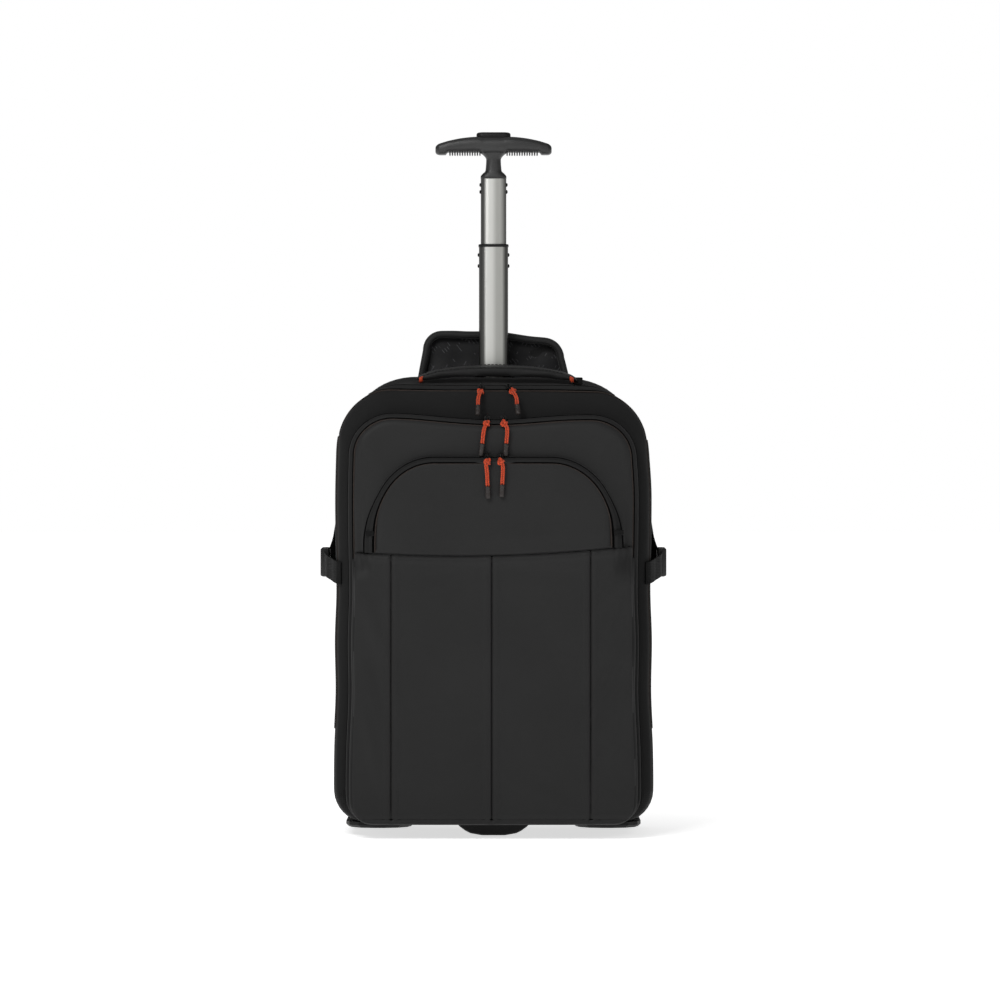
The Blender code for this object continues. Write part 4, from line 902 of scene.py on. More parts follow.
zipProfile = (  # share across the zip, height, material of the strip that follows
    (-0.34, -0.001, 2), (-0.3, 0.0008, 2), (-0.12, 0.001, 3), (0.04, 0.0018, 3), (0.24, 0.0024, 3),
    (0.46, 0.0027, 1), (0.66, 0.0022, 1), (0.78, 0.001, 2), (1.06, 0.0009, 0), (1.14, 0.0009, 0),
    (1.2, -0.001, 0),
)


def openLoop(half, forward, low, sag=0.0):
    # the stretch of an outline above a height, from the left foot over the top to the right foot
    right, last = [p for p in half if p[1] >= low], half[-1]
    line = [(-x, z) for x, z in right]
    line += [(last[0] * (2 * j / 60 - 1), last[1]) for j in range(1, 60)]
    line += list(reversed(right))
    return [warped(placed(x, z, forward, last, sag)) for x, z in line]


def sweepProfile(name, outer, inner, profile, materials):
    rings = []
    for i, (a, b) in enumerate(zip(outer, inner)):
        along = (outer[min(i + 1, len(outer) - 1)] - outer[max(i - 1, 0)]).normalized()
        across = b - a
        out = across.cross(along).normalized()
        if out.y > 0:
            out = -out
        rings.append([a + across * u + out * h for u, h, slot in profile])
    return loftMesh(name, rings, materials, slotOf=lambda i, j: profile[j][2])


def zipBand(label, outer, inner, flat):
    profile = [(share, height * flat, slot) for share, height, slot in zipProfile]
    made = sweepProfile(label + "ZipBand", outer, inner, profile, [zipTape, zipLip, paintedZipShadow, shadedSideCloth])
    return place(made, "root", "zip_tape", label + "_zip")


def tubLine(outlineOf, table, start, depth, share, low, sag):
    return openLoop(outlineOf(readTable(table, share)), start + share * depth, low, sag)


zipShares = {"main": (0.836, 0.896), "front": (0.6, 0.8), "pocket": (0.62, 0.9)}
zipFoot = 0.0062  # how far the pocket zip's legs run down past their last point
mainLines = [openLoop(mainOutline(share), share * bag["mainDepth"], 0.12,
                      bag["sag"] * smooth((share - 0.9) / 0.1)) for share in zipShares["main"]]
frontLines = [tubLine(frontOutline, frontTable, frontStart, bag["frontDepth"], share, 0.038, bag["sag"])
              for share in zipShares["front"]]
pocketLines = [tubLine(pocketOutline, pocketTable, pocketStart, bag["pocketDepth"], share, 0.331, 0.0)
               for share in zipShares["pocket"]]
for line, reach in zip(pocketLines, (0.0085, 0.0045)):  # the legs spread towards their feet, down to the seam
    line.insert(0, line[0] - worldZ * zipFoot)
    line.append(line[-1] - worldZ * zipFoot)
    for p in line:
        if abs(p.x) > 0.1:
            p.x += math.copysign(reach, p.x) * (1 - smooth((p.z - 0.331) / 0.062))
for label, lines in (("main", mainLines), ("front", frontLines), ("pocket", pocketLines)):
    even = [[alongPath(line, pathLength(line) * i / steps["zip"])[0] for i in range(steps["zip"] + 1)]
            for line in lines]
    zipBand(label, *even, 0.6 if label == "main" else 1.0)
footTabs = []
for x, z, wide in ((-0.139, 0.3455, 0.0095), (0.141, 0.343, 0.011)):
    spot = pocketSkin(x, z) + worldY * 0.0024
    footTabs.append(softBox("tab", spot, upright, (wide, 0.006, 0.0058), bindingTape, 0.0012, 3))
place(joinAll("pocketZipTabs", footTabs), "root", "zip_tape")

# sliders: a lacquered body with a bridge, and the eye that the cord goes through

sliderForm = {"wide": 0.0068, "long": 0.0086, "thick": 0.0026, "bridge": 0.001, "ring": 0.0007}
for label, route in cordRoutes.items():
    low, high = (Vector(p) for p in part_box("slider_" + label))
    middle = (low + high) / 2
    down = (Vector(route[1]) - Vector(route[0])).normalized()
    along = worldX - down * worldX.dot(down)
    along.normalize()
    out = along.cross(down).normalized()
    if out.y > 0:
        out = -out
    body = softBox("body", middle - out * 0.0012, (along, down, out),
                   (sliderForm["wide"], sliderForm["long"], sliderForm["thick"]), lacquer, 0.0009)
    arch = [middle + down * sliderForm["long"] * u + out * h for u, h in
            ((-0.4, -0.0002), (-0.36, 0.0012), (-0.18, 0.0022), (0.08, 0.0023), (0.3, 0.0016),
             (0.38, -0.0002))]
    bridge = tube("bridge", smoothRoute(arch, 4), sliderForm["bridge"], lacquer, sides=8)
    ringMiddle = middle + down * sliderForm["long"] * 0.4 + out * 0.0008
    ring = [ringMiddle + along * math.cos(2 * math.pi * i / 20) * 0.0022
            + down * math.sin(2 * math.pi * i / 20) * 0.0022 for i in range(20)]
    eye = tube("eye", ring, sliderForm["ring"], lacquer, sides=6, closed=True)
    place(joinAll("slider_" + label + "_metal", [body, bridge, eye]), "root", "zip_metal", "slider_" + label)
print("zips and sliders made")

# telescopic handle: rounded tubes with their guide buttons, collar and bezel

tubeForm = {"corner": 0.0095, "wall": 0.0012, "buttonReach": 0.0016, "buttonRadius": 0.0022, "steps": 10}


def levelRing(x, y, z, outline):
    return [Vector((x + u, y + v, z)) for u, v in outline]


def roundedTube(name, nodeName, material, corner, wallThick, bevelled=0.0):
    low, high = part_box(nodeName)
    width, depth = high[0] - low[0], high[1] - low[1]
    x, y = (low[0] + high[0]) / 2, (low[1] + high[1]) / 2
    levels = [(low[2], bevelled), (low[2] + bevelled, 0.0), (high[2] - bevelled, 0.0), (high[2], bevelled)]
    if not bevelled:
        levels = [(low[2], 0.0), (high[2], 0.0)]
    rings = []
    for z, inset in levels:
        outline = roundedRectangle(width - 2 * inset, depth - 2 * inset, corner - inset, tubeForm["steps"])
        rings.append(levelRing(x, y, z, outline))
    inner = roundedRectangle(width - 2 * wallThick, depth - 2 * wallThick, max(corner - wallThick, 0.002),
                             tubeForm["steps"])
    for z in (high[2], low[2]):
        rings.append(levelRing(x, y, z, inner))
    rings.append(rings[0])
    return sharpen(loftMesh(name, rings, [material], caps=False), 50)


def guideButtons(nodeName, heights):
    # small round buttons that peep out of the tube's narrow sides
    low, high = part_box(nodeName)
    made = []
    for z in heights:
        for side in (-1, 1):
            x = side * (high[0] - low[0]) / 2
            rings = []
            for reach, radius in ((-0.001, 1.0), (0.0006, 1.0), (tubeForm["buttonReach"], 0.55)):
                rings.append([Vector((x + side * reach, (low[1] + high[1]) / 2
                                      + math.cos(2 * math.pi * k / 12) * tubeForm["buttonRadius"] * radius,
                                      z + math.sin(2 * math.pi * k / 12) * tubeForm["buttonRadius"] * radius))
                              for k in range(12)])
            made.append(loftMesh("guide", rings, [hardNylon]))
    return made


for name, nodeName, body, heights in (("upperTube", "inner_tube", "pole_upper", (0.7471, 0.739)),
                                      ("lowerTube", "outer_tube", "pole_lower", (0.6658, 0.653))):
    parts = [roundedTube("tube", nodeName, aluminium, tubeForm["corner"], tubeForm["wall"])]
    place(joinAll(name, parts + guideButtons(nodeName, heights)), body, "silver_tube", nodeName)
place(roundedTube("tubeCollar", "tube_collar", hardNylon, 0.01, 0.0024, 0.0005), "pole_lower",
      "black_plastic", "tube_collar")
place(roundedTube("tubeBezel", "pole_bezel", hardNylon, 0.015, 0.0055, 0.0016), "root", "black_plastic",
      "pole_bezel")

# grip: arched bar with finger teeth set into its underside, on a flared neck

gripForm = {"half": 0.0674, "depth": 0.028, "rise": 0.0207, "end": 0.0112, "teeth": 13, "pitch": 0.0029,
            "toothHigh": 0.003, "teethStart": 0.0158, "neckHigh": 0.028, "recess": 0.003, "tip": 0.005}
barTable = ((0.0, 0.0, 1.0), (0.3, 0.02, 1.0), (0.5, 0.14, 0.98), (0.78, 0.52, 0.9),
            (0.94, 0.86, 0.8),
            (1.0, 1.0, 0.72))
neckTable = ((0.0, 0.015, 0.0106), (0.08, 0.015, 0.0106), (0.18, 0.0132, 0.01), (0.32, 0.0094, 0.0092),
             (0.8, 0.0085, 0.0088), (0.92, 0.0104, 0.01), (1.14, 0.018, 0.011))
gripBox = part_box("grip")
gripY = (gripBox[0][1] + gripBox[1][1]) / 2
gripLow = gripBox[0][2]
gripUnder = gripLow - tiny + gripForm["neckHigh"]
rings = []
for i in range(-60, 61):
    share = 1 - (1 - abs(i) / 60) ** 1.6
    x = share * gripForm["half"]
    lost, deep = readTable(barTable, share, 1), readTable(barTable, share, 2)
    high = gripUnder + gripForm["rise"] - lost * (gripForm["rise"] - gripForm["end"])
    low = gripUnder + gripForm["recess"] * smooth((x - 0.012) / 0.003) * (1 - smooth((x - 0.053) / 0.003))
    beyond = max(0.0, x - gripForm["half"] + gripForm["tip"]) / gripForm["tip"]
    taper = 0.42 + 0.58 * math.sqrt(max(0.0, 1 - beyond**2))
    tall, depth = (high - low) * taper, gripForm["depth"] * deep * taper
    outline = roundedRectangle(depth, tall, min(tall, depth) * 0.42, 5)
    rings.append([Vector((math.copysign(x, i), gripY + u, (high + low) / 2 + v)) for u, v in outline])
gripParts = [loftMesh("bar", rings, [gripRubber])]
rings = []
for i in range(29):
    share = 1.14 * i / 28
    half, deep = readTable(neckTable, share, 1), readTable(neckTable, share, 2)
    z = gripLow + share * gripForm["neckHigh"]
    rings.append(levelRing(0, gripY, z, roundedRectangle(2 * half, 2 * deep, deep * 0.8, 5)))
gripParts.append(loftMesh("neck", rings, [gripRubber]))
for side in (-1, 1):
    for i in range(gripForm["teeth"]):
        x = side * (gripForm["teethStart"] + i * gripForm["pitch"])
        gripParts.append(softBox("tooth", Vector((x, gripY, gripUnder + gripForm["toothHigh"] / 2 + 0.0002)),
                                 upright,
                                 (gripForm["pitch"] * 0.56, gripForm["depth"] * 0.62,
                                  gripForm["toothHigh"] + 0.0016),
                                 gripRubber, 0.0005))
gripPiece = joinAll("handleGrip", gripParts)
place(gripPiece, "pole_upper", "black_plastic", "grip")
low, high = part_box("grip_button")
rings = []
for z, inset in ((low[2], 0.0), (high[2] - 0.0026, 0.0), (high[2] - 0.0012, 0.0005),
                 (high[2] - 0.0004, 0.0018),
                 (high[2], 0.0042), (high[2] + 0.0001, 0.0065)):
    width, depth = high[0] - low[0] - 2 * inset, high[1] - low[1] - 2 * inset
    rings.append(levelRing(0, gripY, z, roundedRectangle(width, depth, depth * 0.42, 6)))
place(loftMesh("releaseButton", rings, [hardNylon]), "button", "black_plastic", "grip_button")
print("telescopic handle made")

# cover of the grip: folded open behind it, a padded rim round a printed lining

hood = {"halfLow": 0.089, "halfHigh": 0.0825, "top": 0.578, "corner": 0.023, "depth": 0.0175,
        "back": 0.002,
        "lean": 10.0, "sink": 0.0085, "stand": 0.0012, "rim": 0.0085, "steps": 12, "foot": 0.005}
hoodLow = bag["top"] + tiny - hood["foot"]  # its foot goes down behind the top seam


def hoodDrop(x, z):  # its right corner has sunk, its left one stands
    high = smooth((z - hoodLow) / 0.05)
    return high * (hood["sink"] * smooth((x + 0.005) / 0.085) - hood["stand"] * smooth((-x - 0.01) / 0.06))


def hoodRing(inset, forward, floor):
    halfLow, halfHigh = hood["halfLow"] - inset, hood["halfHigh"] - inset
    corner, top = hood["corner"] - inset, hood["top"] - inset
    right = [(halfLow, hoodLow + floor)]
    for i in range(1, 12):
        t = i / 12
        right.append((halfLow + (halfHigh - halfLow) * t,
                      hoodLow + floor + (top - corner - hoodLow - floor) * t))
    right += arc((halfHigh - corner, top - corner), (corner, corner), 0, 90, hood["steps"])
    across = [((halfHigh - corner) * (1 - 2 * i / 24), top) for i in range(1, 24)]
    outline = right + across + [(-x, z) for x, z in reversed(right)]
    outline += [(-halfLow * (1 - 2 * i / 16), hoodLow + floor) for i in range(1, 16)]
    made = []
    for x, z in outline:
        z -= hoodDrop(x, z)
        soft = 0.0006 * noise.noise(Vector((x, forward, z)) / 0.02)
        lean = (z - hoodLow) * math.tan(math.radians(hood["lean"]))
        made.append(Vector((x + soft, rimY - hood["back"] - forward + lean, z + soft)))
    return made


deep, rim = hood["depth"], hood["rim"]
hoodRows = ((0.0085, 0.0, 0.003), (0.003, 0.0004, 0.001), (0.0006, 0.0026, 0.0), (0.0, 0.007, 0.0),
            (0.0012, deep - 0.01, 0.0), (0.0004, deep - 0.0075, 0.0), (0.0, deep - 0.004, 0.0),
            (0.0012, deep - 0.0014, 0.001), (0.0036, deep, 0.002), (0.006, deep - 0.0008, 0.003),
            (rim - 0.0008, deep - 0.0026, 0.003), (rim, deep - 0.005, 0.003),
            (rim - 0.0012, deep - 0.0072, 0.003),
            (rim, deep - 0.009, 0.003), (rim, 0.0046, 0.003))
hoodShell = loftMesh("gripCover", [hoodRing(*row) for row in hoodRows], [shellCloth])
place(hoodShell, "root", "shell_cloth", "handle_cover")
rows = []
for i in range(25):
    t = i / 24
    z = hoodLow + 0.0025 + (hood["top"] - rim - hoodLow) * t
    half = hood["halfLow"] + (hood["halfHigh"] - hood["halfLow"]) * t - rim + 0.0015
    high = hood["top"] - rim - z
    if high < hood["corner"] - rim:
        out = hood["corner"] - rim - high
        half -= (hood["corner"] - rim) - math.sqrt(max((hood["corner"] - rim) ** 2 - out**2, 0))
    row = []
    for j in range(49):
        x = half * (2 * j / 48 - 1)
        lean = (z - hoodLow) * math.tan(math.radians(hood["lean"]))
        puff = 0.0016 * noise.noise(Vector((x, 0.4, z)) / 0.024) + 0.0012 * math.cos(math.pi * x / half / 2)
        row.append(Vector((x, rimY - hood["back"] - 0.0052 - puff + lean, z - hoodDrop(x, z))))
    rows.append(row)
hoodLining = loftMesh("gripCoverLining", rows, [lining], caps=False, around=False)
place(hoodLining, "root", "shell_cloth")

# carry handle: a padded strap over the bag's top, tacked down in orange at both ends

carry = {"half": 0.089, "forward": 0.08, "width": 0.026, "thick": 0.0085, "rise": 0.0115, "tilt": 12.0,
         "tackAt": 0.935, "tack": 0.048, "longer": 0.007, "stitch": 0.0034, "stitchInset": 0.0036}
carryTable = ((0.0, 1.0, 1.0, 1.0), (0.35, 0.92, 1.0, 1.0), (0.65, 0.68, 0.96, 0.8),
              (0.85, 0.36, 0.8, 0.7),
              (0.95, 0.12, 0.58, 0.6), (1.0, 0.0, 0.45, 0.6))
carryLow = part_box("carry_handle")[0][2]


def carryPlace(share):  # middle, turn and thickness of the strap at a share of its half span
    rise, thick, tilt = (readTable(carryTable, abs(share), k) for k in (1, 2, 3))
    turn = math.radians(carry["tilt"] * tilt)
    low = carryLow + carry["thick"] * carryTable[-1][2] / 2 + carry["width"] / 2 * math.sin(
        math.radians(carry["tilt"] * carryTable[-1][3]))
    half = carry["half"] + (carry["longer"] if share > 0 else 0.0)
    middle = Vector((share * half, rimY - carry["forward"], low + rise * carry["rise"]))
    return middle, turn, carry["thick"] * thick


def carrySection(share, grow=0.0, narrow=0.0):
    middle, turn, thick = carryPlace(share)
    made = []
    wide, tall = carry["width"] + 2 * grow - narrow, thick + 2 * grow
    for u, v in roundedRectangle(wide, tall, (thick + grow) * 0.46, 6):
        made.append(middle + Vector((0, u * math.cos(turn) - v * math.sin(turn),
                                     u * math.sin(turn) + v * math.cos(turn))))
    return made


def bake(piece):  # its modifiers become its mesh
    depsgraph = bpy.context.evaluated_depsgraph_get()
    piece.data = bpy.data.meshes.new_from_object(piece.evaluated_get(depsgraph))
    piece.modifiers.clear()
    return piece


padding = {"voxel": 0.004, "travel": 0.0012, "pressure": 4.0, "frames": 20}


def inflate(piece, material):
    # padding presses the cover outward: a short cloth run from the sewn shape, its travel held to a cap
    remesh = piece.modifiers.new("remesh", "REMESH")
    remesh.mode = "VOXEL"
    remesh.voxel_size = padding["voxel"]
    remesh.use_smooth_shade = True
    bake(piece)
    before = [v.co.copy() for v in piece.data.vertices]
    cloth = piece.modifiers.new("cloth", "CLOTH")
    cloth.settings.use_pressure = True
    cloth.settings.uniform_pressure_force = padding["pressure"]
    cloth.settings.effector_weights.gravity = 0.0
    cloth.point_cache.frame_end = padding["frames"]
    for at in range(1, padding["frames"] + 1):
        bpy.context.scene.frame_set(at)
    depsgraph = bpy.context.evaluated_depsgraph_get()
    after = [v.co.copy() for v in piece.evaluated_get(depsgraph).data.vertices]
    piece.modifiers.clear()
    for v, old, new in zip(piece.data.vertices, before, after):
        move = new - old
        v.co = old + move * min(1.0, padding["travel"] / max(move.length, 1e-9))
    bpy.context.scene.frame_set(1)
    piece.data.materials.clear()
    piece.data.materials.append(material)
    finer = piece.modifiers.new("finer", "SUBSURF")
    finer.levels = finer.render_levels = 1
    bake(piece)
    piece.data.shade_smooth()
    return piece


carryStrap = loftMesh("carryHandle", [carrySection(i / 30) for i in range(-30, 31)], [shellCloth])
inflate(carryStrap, shellCloth)
place(carryStrap, "root", "shell_cloth", "carry_handle")


def stitchRow(points, outward, material, length=0.003, gap=0.0014, thick=0.00035):
    # one lockstitch thread after another along a line, each a short bar lying in the cloth
    made = []
    reach, whole = gap / 2, pathLength(points)
    while reach + length < whole:
        a, along = alongPath(points, reach)
        b, along = alongPath(points, reach + length)
        middle = (a + b) / 2
        across = outward.cross(along).normalized()
        made.append(softBox("stitch", middle, (along, across, along.cross(across)),
                            (length, thick * 2.2, thick * 2), material, thick * 0.6, 1))
        reach += length + gap
    return made


threads = []
for edge in (-1, 1):
    line = []
    for i in range(-26, 27):
        middle, turn, thick = carryPlace(i / 30)
        u = edge * (carry["width"] / 2 - carry["stitchInset"])
        v = thick / 2 + 0.0009
        line.append(middle + Vector((0, u * math.cos(turn) - v * math.sin(turn),
                                     u * math.sin(turn) + v * math.cos(turn))))
    threads += stitchRow(line, Vector((0, -math.sin(0.2), math.cos(0.2))), stitchThread)
place(joinAll("carryStitching", threads), "root", "shell_cloth")
for side, label in ((-1, "l"), (1, "r")):
    rings = []
    for i in range(5):
        share = side * (carry["tackAt"] + carry["tack"] * (i / 4 - 0.5))
        rings.append(carrySection(share, 0.0007 if 0 < i < 4 else 0.0003))
    tack = loftMesh("carryTack_" + label, rings, [orangeCord])
    place(tack, "root", "orange_cord", "carry_tab_" + label)
zipEnd = softBox("zipEnd", (0.097, rimY - carry["forward"], 0.518), upright,
                 (0.011, 0.012, 0.0085), bindingTape, 0.0018, 3)
place(zipEnd, "root", "zip_tape")
print("grip cover and carry handle made")

# padded back: a rounded panel with three raised pads, piped round its edge

back = {"thick": 0.009, "groove": 0.0022, "middle": 0.26}
rimHalf = mainOutline(0.0)
backLoops = []
for rise, inset in ((0.0, 0.001), (0.003, 0.0), (0.0055, 0.0006), (0.0075, 0.0028), (0.0086, 0.006)):
    loop = []
    for p in boundary(rimHalf, 0.0, 0.0):
        toward = Vector((p.x, 0, p.z - back["middle"]))
        loop.append(Vector((p.x, rimY + tiny + rise, p.z)) - toward.normalized() * inset)
    backLoops.append(loop)


def backFace(x, z, u, v):
    rise = 0.0086 + 0.0004 * math.sin(math.pi * u) * math.sin(math.pi * v)
    for seam in (-0.045, 0.045):
        rise -= back["groove"] * math.exp(-((x - seam) / 0.006) ** 2) * smooth((z - 0.1) / 0.03)
    for seam in (0.112, 0.235, 0.36):
        rise -= back["groove"] * 0.8 * math.exp(-((z - seam) / 0.006) ** 2)
    return rimY + tiny + rise


backPanel = softTub("paddedBack", backLoops, rimHalf, backFace, lambda p, n: 0.0, [meshCloth])
for housing in ("wheel_housing_l", "wheel_housing_r"):  # cut away where the wheel housings stand
    low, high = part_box(housing)
    bm = bmesh.new()
    bm.from_mesh(backPanel.data)
    gone = [f for f in bm.faces
            if all(low[k] - 0.001 < v.co[k] < high[k] + 0.001 for v in f.verts for k in (0, 2))]
    bmesh.ops.delete(bm, geom=gone, context="FACES")
    bm.to_mesh(backPanel.data)
    bm.free()
place(backPanel, "root", "back_mesh", "back_panel")

# shoulder straps: bowed pads, ladder adjusters and webbing down to the base

pads = {"width": 0.062, "thick": 0.011, "top": (0.05, 0.47), "low": (0.1, 0.205), "bow": 0.033,
        "anchor": (0.124, 0.112), "adjuster": 0.024, "adjusterThick": 0.005, "web": 0.025,
        "webThick": 0.0016}
padTable = ((0.0, 0.0, 0.86, 0.45), (0.08, 0.12, 0.95, 0.85), (0.25, 0.55, 1.0, 1.0),
            (0.5, 1.0, 1.0, 1.0),
            (0.75, 0.72, 0.94, 1.0), (0.93, 0.18, 0.8, 0.8), (1.0, 0.02, 0.62, 0.42))
padFace = rimY + tiny * 2 + back["thick"]
for side, label in ((-1, "l"), (1, "r")):
    top, low = Vector(pads["top"]), Vector(pads["low"])
    along = (low - top).normalized()
    across = Vector((-along.y, along.x))
    rings = []
    for i in range(41):
        share = i / 40
        bow, wide, thick = (readTable(padTable, share, k) for k in (1, 2, 3))
        spot = top.lerp(low, smooth(share) * 0.5 + share * 0.5)
        y = padFace + pads["thick"] * thick / 2 + bow * (pads["bow"] - tiny - pads["thick"])
        tall = pads["thick"] * thick
        rings.append([Vector((side * (spot.x + across.x * u), y + v, spot.y + across.y * u))
                      for u, v in roundedRectangle(pads["width"] * wide, tall, tall * 0.45, 5)])
    pad = loftMesh("shoulderPad_" + label, rings, [meshCloth])
    inflate(pad, meshCloth)
    place(pad, "root", "back_mesh", "shoulder_pad_" + label)
    anchor = Vector(pads["anchor"])
    down = (anchor - low).normalized()
    crosswise = Vector((-down.y, down.x))
    start = low + down * pads["width"] * 0.12
    end = start + down * pads["adjuster"]
    axes = (Vector((side * crosswise.x, 0, crosswise.y)), Vector((side * down.x, 0, down.y)), worldY)
    bars = []
    for share in (0.06, 0.36, 0.66, 0.94):
        spot = start.lerp(end, share)
        bars.append(softBox("bar", Vector((side * spot.x, padFace + pads["adjusterThick"] / 2, spot.y)), axes,
                            (pads["web"] * 1.22, 0.003, pads["adjusterThick"] * 0.9), buckleNylon, 0.001))
    for edge in (-1, 1):
        spot = (start + end) / 2 + crosswise * edge * pads["web"] * 0.585
        bars.append(softBox("rail", Vector((side * spot.x, padFace + pads["adjusterThick"] / 2, spot.y)),
                            axes,
                            (0.0032, pads["adjuster"], pads["adjusterThick"]), buckleNylon, 0.0011))
    place(joinAll("ladderAdjuster_" + label, bars), "root", "black_plastic", "adjuster_" + label)
    rings = []
    for i in range(25):
        share = i / 24
        spot = (end + down * tiny).lerp(anchor, share)
        y = padFace + 0.0018 * math.sin(math.pi * share)
        ends = [(-0.5, 0), (0.5, 0), (0.5, pads["webThick"]), (-0.5, pads["webThick"])]
        rings.append([Vector((side * (spot.x + crosswise.x * u * pads["web"]), y + v,
                              spot.y + crosswise.y * u * pads["web"])) for u, v in ends])
    place(sharpen(loftMesh("strapWebbing_" + label, rings, [webbing])), "root", "webbing",
          "strap_webbing_" + label)
print("back and shoulder straps made")

# side straps: webbing on edge, closed with a side-release buckle

sideStrap = {"height": 0.31, "web": 0.025, "thick": 0.0016, "wing": 0.046, "rear": 0.01,
             "front": 0.145, "lay": 0.0016, "drop": 0.012, "buckleThick": 0.01, "socket": 0.03,
             "plug": 0.02, "buckleFront": 0.09}
rearTable = ((0.0, 0.0, 1.0), (0.22, 0.1, 0.86), (0.5, 0.45, 0.3), (0.78, 0.88, 0.0),
             (1.0, 1.0, 0.0))
frontRun = ((0.0, 1.0, 0.0), (0.3, 0.8, 0.0), (0.7, 0.18, 0.0), (1.0, 0.0, 0.0))
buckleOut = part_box("buckle_socket_r")[1][0] - sideStrap["buckleThick"] / 2


def sideAt(forward, z):
    return widened(bag["halfWidth"] * readTable(mainTable, forward / bag["mainDepth"]), z)


def strapRun(name, side, table, start, end, wing):
    count = 36
    path = []
    for i in range(count + 1):
        share = i / count
        off, tall = readTable(table, share, 1), readTable(table, share, 2)
        forward = start + (end - start) * share
        lay = sideAt(forward, sideStrap["height"]) + sideStrap["lay"] + sideStrap["thick"] / 2
        path.append((lay + (buckleOut - lay) * off, forward, tall))
    rings = []
    for i, (x, forward, tall) in enumerate(path):
        level = sideStrap["height"] - (0 if wing else sideStrap["drop"] * i / count)
        before, after = path[max(i - 1, 0)], path[min(i + 1, count)]
        along = Vector((after[0] - before[0], after[1] - before[1])).normalized()
        normal = Vector((along.y, -along.x)) * sideStrap["thick"] / 2
        if normal.x < 0:
            normal = -normal
        low = level - sideStrap["web"] / 2
        high = level + sideStrap["web"] / 2 + wing * tall
        ring = []
        for sign, share in ((-1, 0), (1, 0), (1, 0.5), (1, 1), (-1, 1), (-1, 0.5)):
            z = low + (high - low) * share
            ring.append(Vector((side * (x + sign * normal.x), rimY - forward - sign * normal.y, z)))
        rings.append(ring)
    return sharpen(loftMesh(name, rings, [webbing]), 50)


for side, label in ((-1, "l"), (1, "r")):
    socketBack = sideStrap["buckleFront"] - sideStrap["plug"] - sideStrap["socket"]
    rear = strapRun("rearStrap_" + label, side, rearTable, sideStrap["rear"], socketBack - tiny,
                    sideStrap["wing"])
    place(rear, "root", "webbing", "rear_strap_" + label)
    front = strapRun("frontStrap_" + label, side, frontRun, sideStrap["buckleFront"] + tiny,
                     sideStrap["front"], 0)
    place(front, "root", "webbing", "front_strap_" + label)
    low, high = (Vector(p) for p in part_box("buckle_socket_" + label))
    middle, size = (low + high) / 2, high - low
    rows = [((0, 0.0015, 0), (size.x, size.y - 0.003, size.z), 0.0028, 4)]
    for z in (-1, 1):  # jaws beside the windows that the prongs spring into
        rows.append(((0, -size.y * 0.34, z * size.z * 0.3), (size.x, size.y * 0.3, size.z * 0.22), 0.0016,
                     3))
    rows.append(((side * size.x * 0.12, size.y * 0.36, 0), (size.x * 0.8, 0.0034, size.z * 0.94), 0.0012, 2))
    parts = [softBox("part", middle + Vector(off), upright, sizes, buckleNylon, *edge) for off, sizes,
             *edge in rows]
    place(joinAll("buckleSocket_" + label, parts), "root", "black_plastic", "buckle_socket_" + label)
    low, high = (Vector(p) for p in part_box("buckle_plug_" + label))
    middle, size = (low + high) / 2, high - low
    rows = [((0, 0, 0), (size.x * 0.86, size.y * 0.96, size.z * 0.72), 0.0024, 4)]
    for z in (-1, 1):  # prongs
        rows.append(((0, size.y * 0.1, z * size.z * 0.42), (size.x * 0.7, size.y * 0.8, size.z * 0.16),
                     0.0016, 3))
    rows.append(((0, -size.y * 0.38, 0), (size.x, size.y * 0.24, size.z), 0.002, 3))
    parts = [softBox("part", middle + Vector(off), upright, sizes, buckleNylon, *edge) for off, sizes,
             *edge in rows]
    place(joinAll("bucklePlug_" + label, parts), "root", "black_plastic", "buckle_plug_" + label)
print("side straps made")

# wheels in their housings, and the foot

wheel = {"width": 0.022, "rim": 0.0235, "bore": 0.0036, "sides": 64, "spokes": 5}


def turnProfile(profile, sides):
    return [[Vector((x, r * math.cos(2 * math.pi * i / sides), r * math.sin(2 * math.pi * i / sides)))
             for x, r in profile] for i in range(sides)]


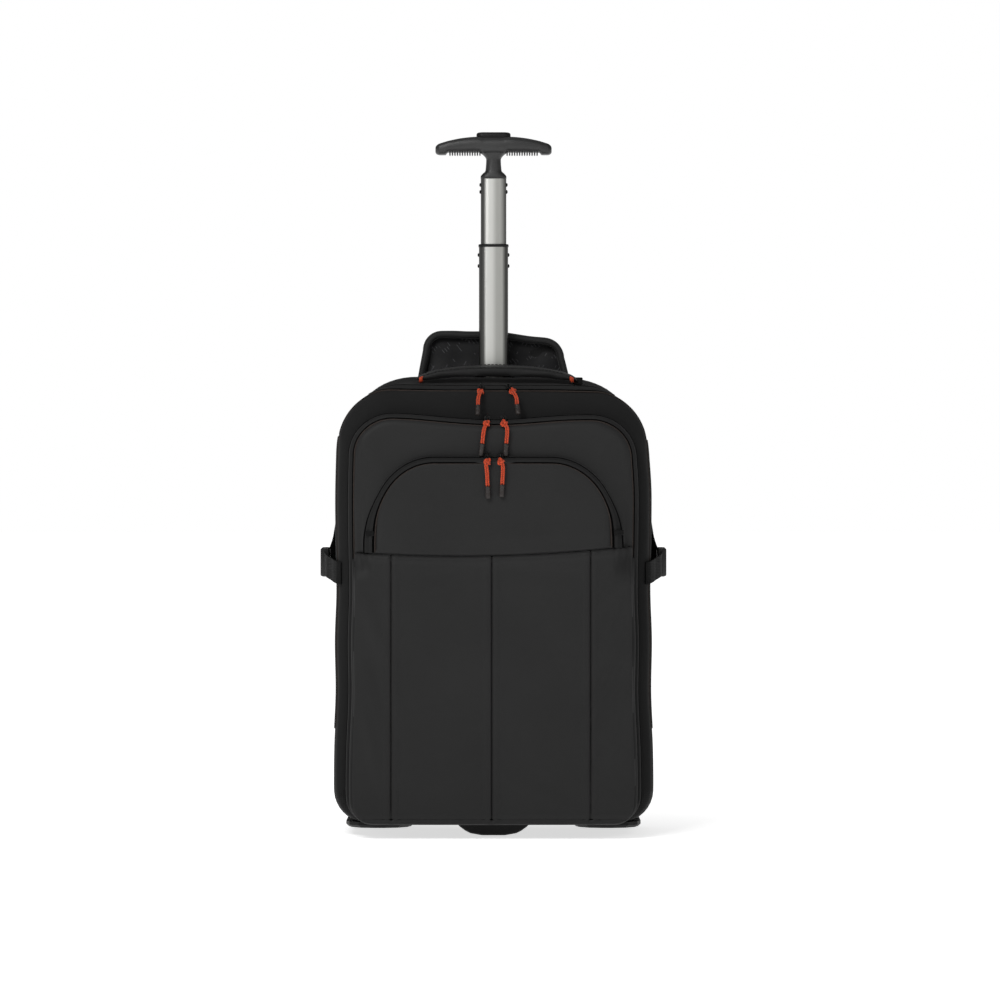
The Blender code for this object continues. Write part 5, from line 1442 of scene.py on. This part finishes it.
for side, label in ((-1, "l"), (1, "r")):
    low, high = (Vector(p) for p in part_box("wheel_" + label))
    centre, half = (low + high) / 2, wheel["width"] / 2
    rim = wheel["rim"]
    tyre = [(-half * 0.96, rim), (-half, rim + 0.0015), (-half * 0.97, 0.0282), (-half * 0.84, 0.0306),
            (-half * 0.62, 0.0318), (-half * 0.36, 0.0324), (0.0, 0.0325)]
    tyre += [(-x, r) for x, r in reversed(tyre[:-1])]
    rings = turnProfile(tyre, wheel["sides"])
    rings.append(rings[0])
    body = loftMesh("tyre", rings, [tyreRubber], caps=False)
    hub = [(-half * 0.8, wheel["bore"]), (-half * 0.8, 0.0075), (-half * 0.3, 0.009),
           (-half * 0.3, 0.0195),
           (-half * 0.78, 0.0205), (-half * 0.92, 0.0218), (-half * 0.94, rim + 0.0004)]
    hub += [(-x, r) for x, r in reversed(hub)]
    rings = turnProfile(hub, wheel["sides"])
    rings.append(rings[0])
    core = sharpen(loftMesh("hub", rings, [hardNylon], caps=False), 30)
    parts = [body, core]
    for k in range(wheel["spokes"]):
        turn = 2 * math.pi * k / wheel["spokes"]
        away = Vector((0, math.cos(turn), math.sin(turn)))
        for face in (-1, 1):
            parts.append(softBox("spoke", away * 0.0135 + worldX * face * half * 0.42,
                                 (worldX, away, worldX.cross(away)), (half * 0.44, 0.013, 0.0036), hardNylon,
                                 0.0006))
    made = joinAll("wheel_" + label + "_full", parts)
    made.location = centre
    bpy.context.view_layer.update()
    place(made, "wheel_left" if side < 0 else "wheel_right", "tyre", "wheel_" + label)


def dress(name, material, edge=0.0, segments=3):  # a CAD piece shown as it is, with its finish and soft edges
    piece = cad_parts[name]
    piece.data.materials.clear()
    piece.data.materials.append(material)
    piece.data.shade_smooth()
    piece.data.set_sharp_from_angle(angle=math.radians(30))
    if edge:
        mod = piece.modifiers.new("edge", "BEVEL")
        mod.width = edge
        mod.segments = segments
        mod.limit_method = "ANGLE"
        mod.angle_limit = math.radians(35)
        mod.harden_normals = True


for label in ("l", "r"):
    dress("wheel_housing_" + label, hardNylon, 0.001)
    dress("axle_" + label, steel, 0.0004)
dress("pole_socket", hardNylon)
dress("front_foot", hardNylon, 0.0006)
print("wheels and foot made")
